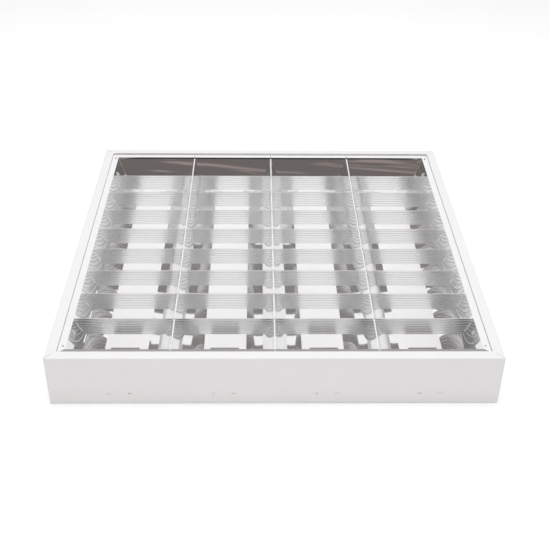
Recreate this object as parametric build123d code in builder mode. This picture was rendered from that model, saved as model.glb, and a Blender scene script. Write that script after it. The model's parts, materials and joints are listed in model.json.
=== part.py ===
from build123d import *
import math
import os

# Surface mounted luminaire for four tubular lamps, lying on its back with the light side up.
# The origin is the centre of the back plate's outer face. X runs across the lamps, Y along them.

# Lamps the fixture takes
lamp_count = 4
lamp_face_length = 589.8
lamp_end_play = 0.8
lamp_axis_height = 18.5

# Housing tray of folded steel sheet
tray_width = 620.0
tray_height = 80.0
tray_sheet = 0.7
tray_bend_radius = 1.2
rim_width = 15.0
rim_lip_depth = 3.5
mitre_slit_width = 0.6
mitre_slit_length = 11.0

# Lances in the end walls that hold the lampholders
lance_length = 7.0
lance_height = 3.6
lance_lift = 2.2
lance_slit = 0.5
lance_catch_depth = 0.5

# Lampholders
holder_depth = 13.5
holder_width = 24.8
holder_top_chamfer = 7.0
holder_seat_gap = 0.1
holder_foot_height = 4.0
holder_foot_reach = 5.0
holder_foot_width = 18.0
holder_groove_gap = 0.25
rotor_diameter = 18.6
rotor_gap = 0.3
rotor_depth = 8.2
rotor_floor_gap = 0.2
pin_slot_width = 3.2
pin_slot_floor = 1.2
pin_mouth_width = 6.4
pin_mouth_depth = 3.2
contact_thickness = 0.4
contact_height = 7.0
contact_depth = 5.5
contact_gap = 0.2

# Louvre frame and its curved reflectors of bright aluminium sheet
louvre_recess = 5.0
louvre_edge_gap = 1.0
louvre_flange_width = 9.35
louvre_sheet = 0.5
flank_radius = 82.6
flank_lean = 13.1
flank_depth = 53.0
nose_width = 2.0
wing_cut_start = 60.6
wing_cut_end = 27.6
wing_cut_width = 13.5
mitre_gap = 0.15
end_flank_depth = 38.0
end_tab_width = 41.0
end_tab_reach = 35.0
end_tab_drop = 4.0
tongue_length = 4.0
tongue_gap = 0.2
corner_lap_length = 10.0
corner_lap_margin = 0.6
lap_gap = 0.05
rivet_inset = 5.5
rivet_head_diameter = 4.4
rivet_head_height = 0.8
rivet_shank_diameter = 2.4
rivet_tail_length = 1.0
rivet_head_taper = 30.0
rivet_sides = 10

# Ribbed cross blades
blade_rows = 8
row_pitch = 61.3
blade_depth = 28.0
blade_sheet = 0.5
blade_hem_width = 1.2
blade_hem_height = 1.5
blade_end_gap = 0.3
half_lap = 14.0
lap_side_gap = 0.3
rib_count = 6
rib_pitch = 4.4
rib_first = 3.6
rib_height = 0.7
rib_half_width = 0.8
end_tab_top = 8.0
end_tab_bottom = 24.0
blade_tab_reach = 2.2

# Wire springs that hold the louvre
spring_wire = 1.5
spring_from_end = 44.6
spring_hook_depth = 12.5
spring_axis_inset = 1.5
spring_leg_offset = 4.5
spring_stub = 5.0
spring_foot = 18.0
spring_bend = 2.0
spring_tip_bend = 1.3
spring_straight = 0.5
spring_sides = 6
spring_floor_gap = 0.1
window_top = 6.0
window_bottom = 13.6
window_length = 7.0
window_slot_height = 3.2
window_slot_length = 6.0
saddle_length = 8.0
saddle_sheet = 0.8
saddle_pad = 5.0

# Control gear, terminals and cable entry under the middle V blade
gear_length = 280.0
gear_width = 36.0
gear_height = 26.0
gear_sheet = 0.8
gear_centre_y = -60.0
gear_lug = 20.0
gear_screw_inset = 5.0
gear_lug_chamfer = 2.5
gear_flange_gap = 0.1
gear_terminal_width = 30.0
gear_terminal_height = 15.0
gear_terminal_depth = 10.0
boss_height = 2.5
boss_diameter = 10.0
boss_hole_diameter = 3.4
screw_diameter = 3.2
screw_head_diameter = 6.0
screw_head_height = 2.0
screw_head_taper = 12.0
screw_gap = 0.1
screw_sides = 10
entry_sides = 24
clamp_sides = 8
terminal_gap = 29.9
terminal_poles = 3
terminal_pitch = 10.0
terminal_width = 34.0
terminal_depth = 20.0
terminal_height = 13.0
terminal_floor = 2.0
terminal_wire_bore = 3.2
terminal_screw_diameter = 3.6
terminal_screw_sink = 1.5
driver_slot_width = 0.9
driver_slot_depth = 1.0
screw_tip_z = 0.3
earth_gap = 26.0
earth_x = 28.0
earth_lug_length = 9.0
earth_lug_sheet = 0.8
earth_barrel_width = 4.0
earth_ring_diameter = 8.0
earth_head_width = 7.0
earth_head_height = 2.8
entry_gap = 45.0
entry_dish_diameter = 34.0
entry_dish_height = 2.6
entry_hole_diameter = 16.0
grommet_bore = 10.0
grommet_flange_diameter = 22.0
grommet_flange = 1.6
grommet_gap = 0.05
wire_sides = 6
harness_diameter = 3.6
harness_bend = 8.0
harness_spacing = 5.4
harness_offset = 28.0
harness_exit = 12.0
harness_slope = 20.0
harness_floor_gap = 0.1
harness_end_bend = 2.4
tap_diameter = 2.4
tap_length = 1.0
supply_wire = 2.2
supply_bend = 3.0
supply_insertion = 3.0
clip_length = 6.0
clip_sheet = 0.8
clip_foot = 4.0

# Fixing slots in the back plate
fixing_spacing_y = 400.0
fixing_slot_length = 12.0
fixing_slot_width = 6.0

# How far cutting shapes reach past what they cut, beside a piece and over an open edge
plan_margin = 5.0
edge_margin = 1.0

# Places worked out from the sizes above
tray_length = lamp_face_length + 2 * (lamp_end_play + holder_seat_gap + holder_depth + tray_sheet)
opening_half_x = tray_width / 2 - rim_width
opening_half_y = tray_length / 2 - rim_width
louvre_half_x = opening_half_x - louvre_edge_gap
louvre_half_y = opening_half_y - louvre_edge_gap
inner_half_x = louvre_half_x - louvre_flange_width
inner_half_y = louvre_half_y - louvre_flange_width
front_z = tray_height - louvre_recess
column_pitch = 2 * inner_half_x / lamp_count
lamp_xs = [(i - (lamp_count - 1) / 2) * column_pitch for i in range(lamp_count)]
v_blade_xs = [(i - lamp_count / 2) * column_pitch for i in range(1, lamp_count)]
row_ys = [(i - (blade_rows - 1) / 2) * row_pitch for i in range(blade_rows)]
wall_inner_y = tray_length / 2 - tray_sheet
holder_face_y = wall_inner_y - holder_seat_gap - holder_depth
slit_width = blade_sheet + rib_height + 2 * lap_side_gap
far_exit_y = gear_centre_y + gear_length / 2 + gear_flange_gap + gear_terminal_depth
near_exit_y = gear_centre_y - gear_length / 2 - gear_flange_gap - gear_terminal_depth
terminal_centre_y = far_exit_y + terminal_gap + terminal_depth / 2
earth_y = terminal_centre_y + terminal_depth / 2 + earth_gap
entry_y = terminal_centre_y + terminal_depth / 2 + entry_gap


def flank(depth):
    """How far a reflector skirt has spread at a depth below its front edge: an arc that starts leaning."""
    lean = math.radians(flank_lean)
    drop = depth + flank_radius * math.sin(lean)
    return flank_radius * math.cos(lean) - math.sqrt(flank_radius**2 - drop**2)


def flank_points(start, sign, depth, shift=0.0, top=0.0):
    """Three points down a skirt that starts at a place on the front plane and spreads towards sign."""
    depths = (top, (top + depth) / 2, depth)
    return [(start + sign * (flank(d) + shift), front_z - d) for d in depths]


def holder_plane(x, end):
    """Plane on the inner face of an end wall, facing the lamps, with its own Y pointing up."""
    origin = (x, end * (wall_inner_y - holder_seat_gap), 0)
    return Plane(origin=origin, x_dir=(end, 0, 0), z_dir=(0, -end, 0))


def save(part, name):
    """Label a finished piece and write it under its node's name."""
    part.label = name
    export_step(part, f"parts/{name}.step")


os.makedirs("parts", exist_ok=True)

# Housing tray: back plate, four walls, the face rim and its turned-down lip
gear_reach = gear_length / 2 + gear_lug - gear_screw_inset
gear_screws_at = [(0, gear_centre_y - gear_reach), (0, gear_centre_y + gear_reach)]
terminal_screw_at = (terminal_pitch / 2, terminal_centre_y)
boss_places = gear_screws_at + [(earth_x, earth_y), terminal_screw_at]
fixing_ys = (-fixing_spacing_y / 2, fixing_spacing_y / 2)
fixing_places = [(x, y) for x in (v_blade_xs[0], v_blade_xs[-1]) for y in fixing_ys]

with BuildPart() as housing_tray:
    with BuildSketch():
        Rectangle(tray_width, tray_length)
    extrude(amount=tray_height)
    folded_edges = housing_tray.edges() - housing_tray.edges().filter_by(Axis.Z)
    fillet(folded_edges, tray_bend_radius)
    with BuildSketch(Plane.XY.offset(tray_sheet)):
        Rectangle(tray_width - 2 * tray_sheet, tray_length - 2 * tray_sheet)
    extrude(amount=tray_height - 2 * tray_sheet, mode=Mode.SUBTRACT)
    with BuildSketch(Plane.XY.offset(tray_height - tray_sheet)):
        Rectangle(2 * opening_half_x, 2 * opening_half_y)
    extrude(amount=tray_sheet, mode=Mode.SUBTRACT)
    with BuildSketch(Plane.XY.offset(tray_height - rim_lip_depth)):
        Rectangle(2 * (opening_half_x + tray_sheet), 2 * (opening_half_y + tray_sheet))
        Rectangle(2 * opening_half_x, 2 * opening_half_y, mode=Mode.SUBTRACT)
    extrude(amount=rim_lip_depth - tray_sheet / 2)
    # Open mitres at the rim's corners
    with BuildSketch(Plane.XY.offset(tray_height - tray_sheet)):
        for sx in (-1, 1):
            for sy in (-1, 1):
                reach = mitre_slit_length / 2
                middle = (sx * (tray_width / 2 - reach), sy * (tray_length / 2 - reach))
                with Locations(Location((middle[0], middle[1], 0), (0, 0, 45 * sx * sy))):
                    Rectangle(mitre_slit_length * math.sqrt(2), mitre_slit_width)
    extrude(amount=tray_sheet, mode=Mode.SUBTRACT)
    # Raised bosses for the screws of the gear, the terminal block and the earth
    with BuildSketch():
        with Locations(*boss_places):
            RegularPolygon(boss_diameter / 2, screw_sides)
    extrude(amount=boss_height)
    with BuildSketch():
        with Locations(*boss_places):
            RegularPolygon(boss_diameter / 2 - tray_sheet, screw_sides)
    extrude(amount=boss_height - tray_sheet, mode=Mode.SUBTRACT)
    with BuildSketch():
        with Locations(*boss_places):
            RegularPolygon(boss_hole_diameter / 2, screw_sides)
    extrude(amount=boss_height, mode=Mode.SUBTRACT)
    # Dished cable entry, so that the grommet stays above the mounting surface
    with BuildSketch():
        with Locations((0, entry_y)):
            RegularPolygon(entry_dish_diameter / 2, entry_sides)
    extrude(amount=entry_dish_height + tray_sheet)
    with BuildSketch():
        with Locations((0, entry_y)):
            RegularPolygon(entry_dish_diameter / 2 - tray_sheet, entry_sides)
    extrude(amount=entry_dish_height, mode=Mode.SUBTRACT)
    with BuildSketch():
        with Locations((0, entry_y)):
            RegularPolygon(entry_hole_diameter / 2, entry_sides, major_radius=False)
    extrude(amount=entry_dish_height + tray_sheet, mode=Mode.SUBTRACT)
    # Slotted fixing holes
    with BuildSketch():
        with Locations(*fixing_places):
            SlotOverall(fixing_slot_length, fixing_slot_width)
    extrude(amount=tray_sheet, mode=Mode.SUBTRACT)
    # Lances that spring into the grooves of the lampholders
    for end in (-1, 1):
        for x in lamp_xs:
            for side in (-1, 1):
                tip = x + side * (holder_width / 2 - lance_catch_depth)
                root = tip + side * lance_length
                outer = end * tray_length / 2
                inner = end * wall_inner_y
                with BuildSketch(Plane.XY.offset(lamp_axis_height - lance_height / 2)):
                    with BuildLine():
                        Polyline((root, outer), (tip - side * lance_slit, outer),
                                 (tip - side * lance_slit, inner), (root, inner), close=True)
                    make_face()
                extrude(amount=lance_height, mode=Mode.SUBTRACT)
                with BuildSketch(Plane.XY.offset(lamp_axis_height - lance_height / 2)):
                    with BuildLine():
                        Polyline((root, outer), (tip, outer - end * lance_lift),
                                 (tip, inner - end * lance_lift), (root, inner), close=True)
                    make_face()
                extrude(amount=lance_height)
save(housing_tray.part, "housing_tray")


# Side reflectors: flange on the front plane and a curved skirt, each along one side
corner_offset = inner_half_y - inner_half_x
skirt_end_x = inner_half_x - flank(flank_depth)
cut_start_y = inner_half_y - wing_cut_start
cut_end_y = inner_half_y - wing_cut_end
spring_y = inner_half_y - spring_from_end

for side, name in ((-1, "side_reflector_left"), (1, "side_reflector_right")):
    with BuildPart() as side_reflector:
        with BuildSketch(Plane.XZ):
            with BuildLine():
                Line((side * louvre_half_x, front_z), (side * inner_half_x, front_z))
                ThreePointArc(*flank_points(side * inner_half_x, -side, flank_depth))
                offset(amount=louvre_sheet, side=Side.LEFT if side > 0 else Side.RIGHT, closed=True)
            make_face()
        extrude(amount=louvre_half_y, both=True)
        # Mitred ends, with the wing cut back on a slant beside the lamp ends
        with BuildSketch():
            with BuildLine():
                far_x = louvre_half_x + plan_margin
                near_x = skirt_end_x - plan_margin
                cut_x = skirt_end_x + wing_cut_width
                half = [
                    (near_x, cut_start_y),
                    (skirt_end_x, cut_start_y),
                    (cut_x, cut_end_y),
                    (cut_x, cut_x + corner_offset - mitre_gap),
                    (far_x, far_x + corner_offset - mitre_gap),
                ]
                outline = [(side * x, y) for x, y in half] + [(side * x, -y) for x, y in reversed(half)]
                Polyline(*outline, close=True)
            make_face()
        extrude(amount=tray_height, mode=Mode.INTERSECT)
        # Slots for the tabs of the cross blades
        slot_reach = flank(end_tab_bottom) + 2 * plan_margin
        with BuildSketch(Plane.YZ.offset(side * (inner_half_x - slot_reach / 2 + plan_margin))):
            with Locations(*[(y, front_z - (end_tab_top + end_tab_bottom) / 2) for y in row_ys]):
                Rectangle(slit_width, end_tab_bottom - end_tab_top + 2 * lap_side_gap)
        extrude(amount=slot_reach / 2, both=True, mode=Mode.SUBTRACT)
        # Windows that the wire springs hook into
        with BuildSketch(Plane.YZ.offset(side * inner_half_x)):
            for end in (-1, 1):
                window_y = end * (spring_y - window_length / 2)
                with Locations((window_y, front_z - (window_top + window_bottom) / 2)):
                    Rectangle(window_length, window_bottom - window_top)
                slot_y = end * (spring_y + window_slot_length / 2)
                with Locations((slot_y, front_z - window_bottom + window_slot_height / 2)):
                    Rectangle(window_slot_length, window_slot_height)
        extrude(amount=plan_margin, both=True, mode=Mode.SUBTRACT)
        # Holes for the corner rivets
        with BuildSketch(Plane.XY.offset(front_z)):
            rivet_x = side * (inner_half_x + louvre_flange_width / 2)
            with Locations((rivet_x, inner_half_y - rivet_inset), (rivet_x, rivet_inset - inner_half_y)):
                RegularPolygon(rivet_shank_diameter / 2, rivet_sides)
        extrude(amount=-louvre_sheet, mode=Mode.SUBTRACT)
    save(side_reflector.part, name)

# End reflectors: flange, a shorter curved skirt and a tab over the end of each lamp
skirt_end_y = inner_half_y - flank(end_flank_depth)
tab_end_y = skirt_end_y - end_tab_reach

for end, name in ((-1, "end_reflector_near"), (1, "end_reflector_far")):
    with BuildPart() as end_reflector:
        with BuildSketch(Plane.YZ):
            with BuildLine():
                Line((end * louvre_half_y, front_z), (end * inner_half_y, front_z))
                curve = ThreePointArc(*flank_points(end * inner_half_y, -end, end_flank_depth))
                tab_end = (end * tab_end_y, front_z - end_flank_depth - end_tab_drop)
                Line(curve @ 1, tab_end)
                offset(amount=louvre_sheet, side=Side.LEFT if end > 0 else Side.RIGHT, closed=True)
            make_face()
        extrude(amount=louvre_half_x, both=True)
        with BuildSketch():
            with BuildLine():
                far_y = louvre_half_y + plan_margin
                corners = [
                    (skirt_end_y - corner_offset - mitre_gap, end * skirt_end_y),
                    (far_y - corner_offset - mitre_gap, end * far_y),
                ]
                outline = corners + [(-x, y) for x, y in reversed(corners)]
                Polyline(*outline, close=True)
            make_face()
            tab_centre = end * (skirt_end_y - end_tab_reach / 2)
            with Locations(*[(x, tab_centre) for x in lamp_xs]):
                Rectangle(end_tab_width, end_tab_reach + plan_margin)
        extrude(amount=tray_height, mode=Mode.INTERSECT)
        # Notches that seat the tongues of the V blades
        with BuildSketch(Plane.XY.offset(front_z - louvre_sheet - tongue_gap)):
            with Locations(*[(x, end * (inner_half_y + tongue_length / 2)) for x in v_blade_xs]):
                Rectangle(nose_width + 2 * tongue_gap, tongue_length + 2 * tongue_gap)
        extrude(amount=louvre_sheet + tongue_gap, mode=Mode.SUBTRACT)
        # Laps that pass under the side flanges and are riveted to them
        lap_low_x = inner_half_x + louvre_sheet + 2 * mitre_gap
        lap_high_x = louvre_half_x - corner_lap_margin
        lap_low_y = inner_half_y - corner_lap_length
        lap_high_y = louvre_half_y - corner_lap_margin
        with BuildSketch(Plane.XY.offset(front_z - louvre_sheet - lap_gap)):
            for side in (-1, 1):
                with Locations((side * (lap_low_x + lap_high_x) / 2, end * (lap_low_y + lap_high_y) / 2)):
                    Rectangle(lap_high_x - lap_low_x, lap_high_y - lap_low_y)
        extrude(amount=-louvre_sheet)
        with BuildSketch(Plane.XY.offset(front_z - louvre_sheet - lap_gap)):
            for side in (-1, 1):
                with BuildLine():
                    start_y = lap_low_x + corner_offset + mitre_gap
                    stop_x = lap_high_y - corner_offset - mitre_gap
                    Polyline((side * lap_low_x, end * start_y), (side * lap_low_x, end * lap_high_y),
                             (side * stop_x, end * lap_high_y), close=True)
                make_face()
        extrude(amount=lap_gap + louvre_sheet / 2)
        with BuildSketch(Plane.XY.offset(front_z)):
            rivet_x = inner_half_x + louvre_flange_width / 2
            rivet_y = end * (inner_half_y - rivet_inset)
            with Locations((rivet_x, rivet_y), (-rivet_x, rivet_y)):
                RegularPolygon(rivet_shank_diameter / 2, rivet_sides)
        extrude(amount=-2 * louvre_sheet - lap_gap, mode=Mode.SUBTRACT)
    save(end_reflector.part, name)

# Rivets at the louvre's corners
with BuildPart() as louvre_rivets:
    rivet_places = [(sx * rivet_x, sy * (inner_half_y - rivet_inset)) for sx in (-1, 1) for sy in (-1, 1)]
    with BuildSketch(Plane.XY.offset(front_z)):
        with Locations(*rivet_places):
            RegularPolygon(rivet_head_diameter / 2, rivet_sides)
    extrude(amount=rivet_head_height, taper=rivet_head_taper)
    with BuildSketch(Plane.XY.offset(front_z)):
        with Locations(*rivet_places):
            RegularPolygon(rivet_shank_diameter / 2 - lap_gap, rivet_sides)
    extrude(amount=-2 * louvre_sheet - 2 * lap_gap)
    with BuildSketch(Plane.XY.offset(front_z - 2 * louvre_sheet - 2 * lap_gap)):
        with Locations(*rivet_places):
            RegularPolygon(rivet_head_diameter / 2 - lap_gap, rivet_sides)
    extrude(amount=-rivet_tail_length)
save(louvre_rivets.part, "louvre_rivets")

# V blades: two curved flanks from a narrow nose, slit at the front to take the cross blades
wing_half = nose_width / 2 + flank(flank_depth)

for number, x0 in enumerate(v_blade_xs, start=1):
    with BuildPart() as v_blade:
        with BuildSketch(Plane.XZ):
            with BuildLine():
                ThreePointArc(*reversed(flank_points(x0 - nose_width / 2, -1, flank_depth)))
                Line((x0 - nose_width / 2, front_z), (x0 + nose_width / 2, front_z))
                ThreePointArc(*flank_points(x0 + nose_width / 2, 1, flank_depth))
                offset(amount=louvre_sheet, side=Side.RIGHT, closed=True)
            make_face()
        extrude(amount=inner_half_y - mitre_gap, both=True)
        # Ends that follow the end reflectors
        with BuildSketch(Plane.YZ):
            with BuildLine():
                near = flank_points(inner_half_y, -1, flank_depth, tongue_gap)
                far = flank_points(-inner_half_y, 1, flank_depth, tongue_gap)
                ThreePointArc(*near)
                Line(near[2], far[2])
                ThreePointArc(*reversed(far))
                Line(far[0], near[0])
            make_face()
        extrude(amount=tray_width, both=True, mode=Mode.INTERSECT)
        # Wings cut back on a slant beside the lamp ends
        with BuildSketch():
            with BuildLine():
                half = [
                    (wing_half - wing_cut_width, louvre_half_y),
                    (wing_half - wing_cut_width, cut_end_y),
                    (wing_half, cut_start_y),
                    (wing_half + plan_margin, cut_start_y),
                ]
                right = [(x, -y) for x, y in half] + list(reversed(half))
                left = [(-x, y) for x, y in reversed(right)]
                Polyline(*[(x0 + x, y) for x, y in right + left], close=True)
            make_face()
        extrude(amount=tray_height, mode=Mode.INTERSECT)
        # Slits for the cross blades
        with BuildSketch(Plane.XY.offset(front_z)):
            with Locations(*[(x0, y) for y in row_ys]):
                Rectangle(2 * wing_half, slit_width)
        extrude(amount=-half_lap - lap_side_gap, mode=Mode.SUBTRACT)
        # Tongues that seat in the end flanges
        with BuildSketch(Plane.XY.offset(front_z - louvre_sheet)):
            for end in (-1, 1):
                with Locations((x0, end * (inner_half_y + (tongue_length - 2 * tongue_gap) / 2))):
                    Rectangle(nose_width, tongue_length + 2 * tongue_gap)
        extrude(amount=louvre_sheet)
    save(v_blade.part, f"v_blade_{number}")


# Cross blades: ribbed strips, half lapped with the V blades and trimmed to the skirts
blade_foot_z = front_z - blade_depth
rib_zs = [front_z - rib_first - i * rib_pitch for i in range(rib_count)]


def ribbed_face(y, rise, reach):
    """One face of a ribbed strip as points from its top edge to its foot."""
    points = []
    for z in rib_zs:
        points += [(y, z + reach), (y + rise, z), (y, z - reach)]
    return points


for number, y0 in enumerate(row_ys, start=1):
    with BuildPart() as cross_blade:
        with BuildSketch(Plane.YZ):
            with BuildLine():
                face_y = y0 - (blade_sheet + rib_height) / 2
                back_y = face_y + blade_sheet
                hem_y = face_y + blade_hem_width
                hem_z = front_z - blade_hem_height
                face = ribbed_face(face_y, rib_height, rib_half_width)
                back = ribbed_face(back_y, rib_height, rib_half_width)
                hem = [(back_y, hem_z), (hem_y, hem_z), (hem_y, front_z)]
                front_side = [(face_y, front_z)] + face + [(face_y, blade_foot_z)]
                back_side = [(back_y, blade_foot_z)] + list(reversed(back)) + hem
                Polyline(*front_side, *back_side, close=True)
            make_face()
        extrude(amount=louvre_half_x, both=True)
        # Ends trimmed to the skirts, each with a tab for its slot
        with BuildSketch(Plane.XZ):
            with BuildLine():
                right = flank_points(inner_half_x, -1, blade_depth, blade_end_gap)
                left = flank_points(-inner_half_x, 1, blade_depth, blade_end_gap)
                Polyline(*right)
                Line(right[2], left[2])
                Polyline(*reversed(left))
                Line(left[0], right[0])
            make_face()
            for side in (-1, 1):
                with BuildLine():
                    edge = side * inner_half_x
                    inner = flank_points(edge, -side, end_tab_bottom, 2 * blade_end_gap, end_tab_top)
                    outer = flank_points(edge, -side, end_tab_bottom, -blade_tab_reach, end_tab_top)
                    Polyline(*inner)
                    Line(inner[2], outer[2])
                    Polyline(*reversed(outer))
                    Line(outer[0], inner[0])
                make_face()
            # Notches over the V blades
            for x0 in v_blade_xs:
                with BuildLine():
                    notch_depth = blade_depth + edge_margin
                    left = flank_points(x0 - nose_width / 2, -1, notch_depth, lap_side_gap, half_lap)
                    right = flank_points(x0 + nose_width / 2, 1, notch_depth, lap_side_gap, half_lap)
                    Polyline(left[0], left[2], right[2], right[0], close=True)
                make_face(mode=Mode.SUBTRACT)
        extrude(amount=tray_length, both=True, mode=Mode.INTERSECT)
    save(cross_blade.part, f"cross_blade_{number}")


# Lampholders: a body on each end wall, a turning rotor in it and two contact strips
body_top_z = lamp_axis_height + holder_width / 2
rotor_bore = rotor_diameter / 2 + rotor_gap
pocket_depth = rotor_depth + rotor_floor_gap
groove_top = lamp_axis_height + lance_height / 2 + holder_groove_gap
groove_bottom = lamp_axis_height - lance_height / 2 - holder_groove_gap
groove_start = lance_lift - tray_sheet - holder_seat_gap - holder_groove_gap
groove_length = tray_sheet + 2 * holder_groove_gap
groove_side = lance_catch_depth + holder_groove_gap
contact_x = rotor_bore + contact_gap + contact_thickness / 2
contact_pocket_width = 2 * (contact_x + contact_thickness / 2 + contact_gap)
contact_pocket_height = contact_height + 2 * contact_gap

number = 0
for end in (-1, 1):
    for x in lamp_xs:
        number += 1
        seat = holder_plane(x, end)
        face = seat.offset(holder_depth)
        with BuildPart() as lampholder:
            with BuildSketch(seat):
                with Locations((0, (tray_sheet + holder_seat_gap + body_top_z) / 2)):
                    outline = Rectangle(holder_width, body_top_z - tray_sheet - holder_seat_gap)
                chamfer(outline.vertices().group_by(Axis.Y)[-1], holder_top_chamfer)
            extrude(amount=holder_depth)
            with BuildSketch(face):
                with Locations((0, tray_sheet + holder_seat_gap + holder_foot_height / 2)):
                    Rectangle(holder_foot_width, holder_foot_height)
            extrude(amount=holder_foot_reach)
            # Bore for the rotor, with pockets for the contact strips
            with BuildSketch(face):
                with Locations((0, lamp_axis_height)):
                    Circle(rotor_bore)
                    Rectangle(contact_pocket_width, contact_pocket_height)
            extrude(amount=-pocket_depth, mode=Mode.SUBTRACT)
            # Slot that the lamp's pins come down, flared at its mouth
            with BuildSketch(face):
                with BuildLine():
                    flare_z = body_top_z - pin_mouth_depth
                    mouth_z = body_top_z + edge_margin
                    left = [(-pin_slot_width / 2, lamp_axis_height), (-pin_slot_width / 2, flare_z),
                            (-pin_mouth_width / 2, mouth_z)]
                    right = [(-x, z) for x, z in reversed(left)]
                    Polyline(*left, *right, close=True)
                make_face()
            extrude(amount=-pocket_depth, mode=Mode.SUBTRACT)
            # Grooves that the wall's lances spring into
            with BuildSketch(seat.offset(groove_start)):
                for side in (-1, 1):
                    with Locations((side * holder_width / 2, lamp_axis_height)):
                        Rectangle(2 * groove_side, groove_top - groove_bottom)
            extrude(amount=groove_length, mode=Mode.SUBTRACT)
        save(lampholder.part, f"lampholder_{number}")

        with BuildPart() as rotor:
            with BuildSketch(face):
                with Locations((0, lamp_axis_height)):
                    Circle(rotor_diameter / 2)
            extrude(amount=-rotor_depth)
            with BuildSketch(face):
                with Locations((0, lamp_axis_height)):
                    Rectangle(pin_slot_width, rotor_diameter)
            extrude(amount=-rotor_depth + pin_slot_floor, mode=Mode.SUBTRACT)
        save(rotor.part, f"lamp_rotor_{number}")

with BuildPart() as lamp_contacts:
    for end in (-1, 1):
        for x in lamp_xs:
            with BuildSketch(holder_plane(x, end).offset(holder_depth - pocket_depth + contact_gap)):
                with Locations((-contact_x, lamp_axis_height), (contact_x, lamp_axis_height)):
                    Rectangle(contact_thickness, contact_height)
            extrude(amount=contact_depth)
save(lamp_contacts.part, "lamp_contacts")

# Wire springs: a foot on the back plate, a straight leg and a hook through the louvre's window
foot_z = tray_sheet + spring_floor_gap + spring_wire / 2
hook_z = front_z - spring_hook_depth
hook_x = inner_half_x - flank(spring_hook_depth) - spring_axis_inset
leg_x = hook_x + spring_leg_offset

for side, side_name in ((-1, "left"), (1, "right")):
    for end, end_name in ((-1, "near"), (1, "far")):
        with BuildPart() as louvre_spring:
            crossing_y = end * (spring_y - spring_wire)
            foot_end = (side * leg_x, crossing_y - end * (spring_bend + spring_straight), foot_z)
            stub_start = (side * hook_x, crossing_y + end * (spring_tip_bend + spring_straight), hook_z)
            with BuildLine() as wire_route:
                FilletPolyline(
                    foot_end,
                    (side * leg_x, crossing_y, foot_z),
                    (side * leg_x, crossing_y, hook_z),
                    (side * hook_x, crossing_y, hook_z),
                    stub_start,
                    radius=[spring_bend, spring_bend, spring_tip_bend],
                )
            with BuildSketch(Plane(wire_route.line @ 0, z_dir=wire_route.line % 0)):
                RegularPolygon(spring_wire / 2, spring_sides)
            sweep()
            # Round stretches that turn in the saddle and in the louvre's window
            with BuildSketch(Plane(foot_end, x_dir=(1, 0, 0), z_dir=(0, -end, 0))):
                Circle(spring_wire / 2)
            extrude(amount=spring_foot - spring_bend - spring_straight)
            with BuildSketch(Plane(stub_start, x_dir=(1, 0, 0), z_dir=(0, end, 0))):
                Circle(spring_wire / 2)
            extrude(amount=spring_stub - spring_tip_bend - spring_straight)
        save(louvre_spring.part, f"louvre_spring_{side_name}_{end_name}")

# Saddles spot welded to the back plate over the springs' feet
hump = spring_wire / 2 + spring_floor_gap
with BuildPart() as spring_saddles:
    for side in (-1, 1):
        for end in (-1, 1):
            saddle_y = end * (spring_y - spring_wire - spring_foot / 2 - spring_bend / 2)
            with BuildSketch(Plane.XZ.offset(-saddle_y)):
                with Locations((side * leg_x, tray_sheet + saddle_sheet / 2)):
                    Rectangle(2 * (hump + saddle_sheet + saddle_pad), saddle_sheet)
                with Locations((side * leg_x, (tray_sheet + foot_z) / 2)):
                    Rectangle(2 * (hump + saddle_sheet), foot_z - tray_sheet)
                with Locations((side * leg_x, foot_z)):
                    turn = 180 / spring_sides
                    RegularPolygon(hump + saddle_sheet, spring_sides, False, rotation=turn)
                    RegularPolygon(hump, spring_sides, False, rotation=turn, mode=Mode.SUBTRACT)
                with Locations((side * leg_x, tray_sheet)):
                    Rectangle(2 * hump, 2 * (foot_z - tray_sheet), mode=Mode.SUBTRACT)
                with Locations((side * leg_x, tray_sheet / 2 - saddle_sheet)):
                    Rectangle(4 * (hump + saddle_sheet), tray_sheet + 2 * saddle_sheet, mode=Mode.SUBTRACT)
            extrude(amount=saddle_length / 2, both=True)
save(spring_saddles.part, "spring_saddles")


# Control gear: a base plate with a lug at each end, a cover and push-in terminal blocks
gear_base_z = boss_height + gear_flange_gap
gear_top_z = gear_base_z + gear_height
gear_floor_z = gear_base_z + gear_sheet

with BuildPart() as gear_base:
    with BuildSketch(Plane.XY.offset(gear_base_z)):
        with Locations((0, gear_centre_y)):
            outline = Rectangle(gear_width, gear_length + 2 * gear_lug)
        chamfer(outline.vertices(), gear_lug_chamfer)
        with Locations(*gear_screws_at):
            hole_radius = screw_diameter / 2 + screw_gap
            RegularPolygon(hole_radius, screw_sides, major_radius=False, mode=Mode.SUBTRACT)
    extrude(amount=gear_sheet)
save(gear_base.part, "gear_base")

with BuildPart() as gear_cover:
    with BuildSketch(Plane.XY.offset(gear_floor_z)):
        with Locations((0, gear_centre_y)):
            Rectangle(gear_width, gear_length)
    extrude(amount=gear_top_z - gear_floor_z)
    long_edges = gear_cover.edges().filter_by(Axis.Y).group_by(Axis.Z)[-1]
    fillet(long_edges, 2 * gear_sheet)
    with BuildSketch(Plane.XY.offset(gear_floor_z)):
        with Locations((0, gear_centre_y)):
            Rectangle(gear_width - 2 * gear_sheet, gear_length - 2 * gear_sheet)
    extrude(amount=gear_top_z - gear_floor_z - gear_sheet, mode=Mode.SUBTRACT)
save(gear_cover.part, "gear_cover")

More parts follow.
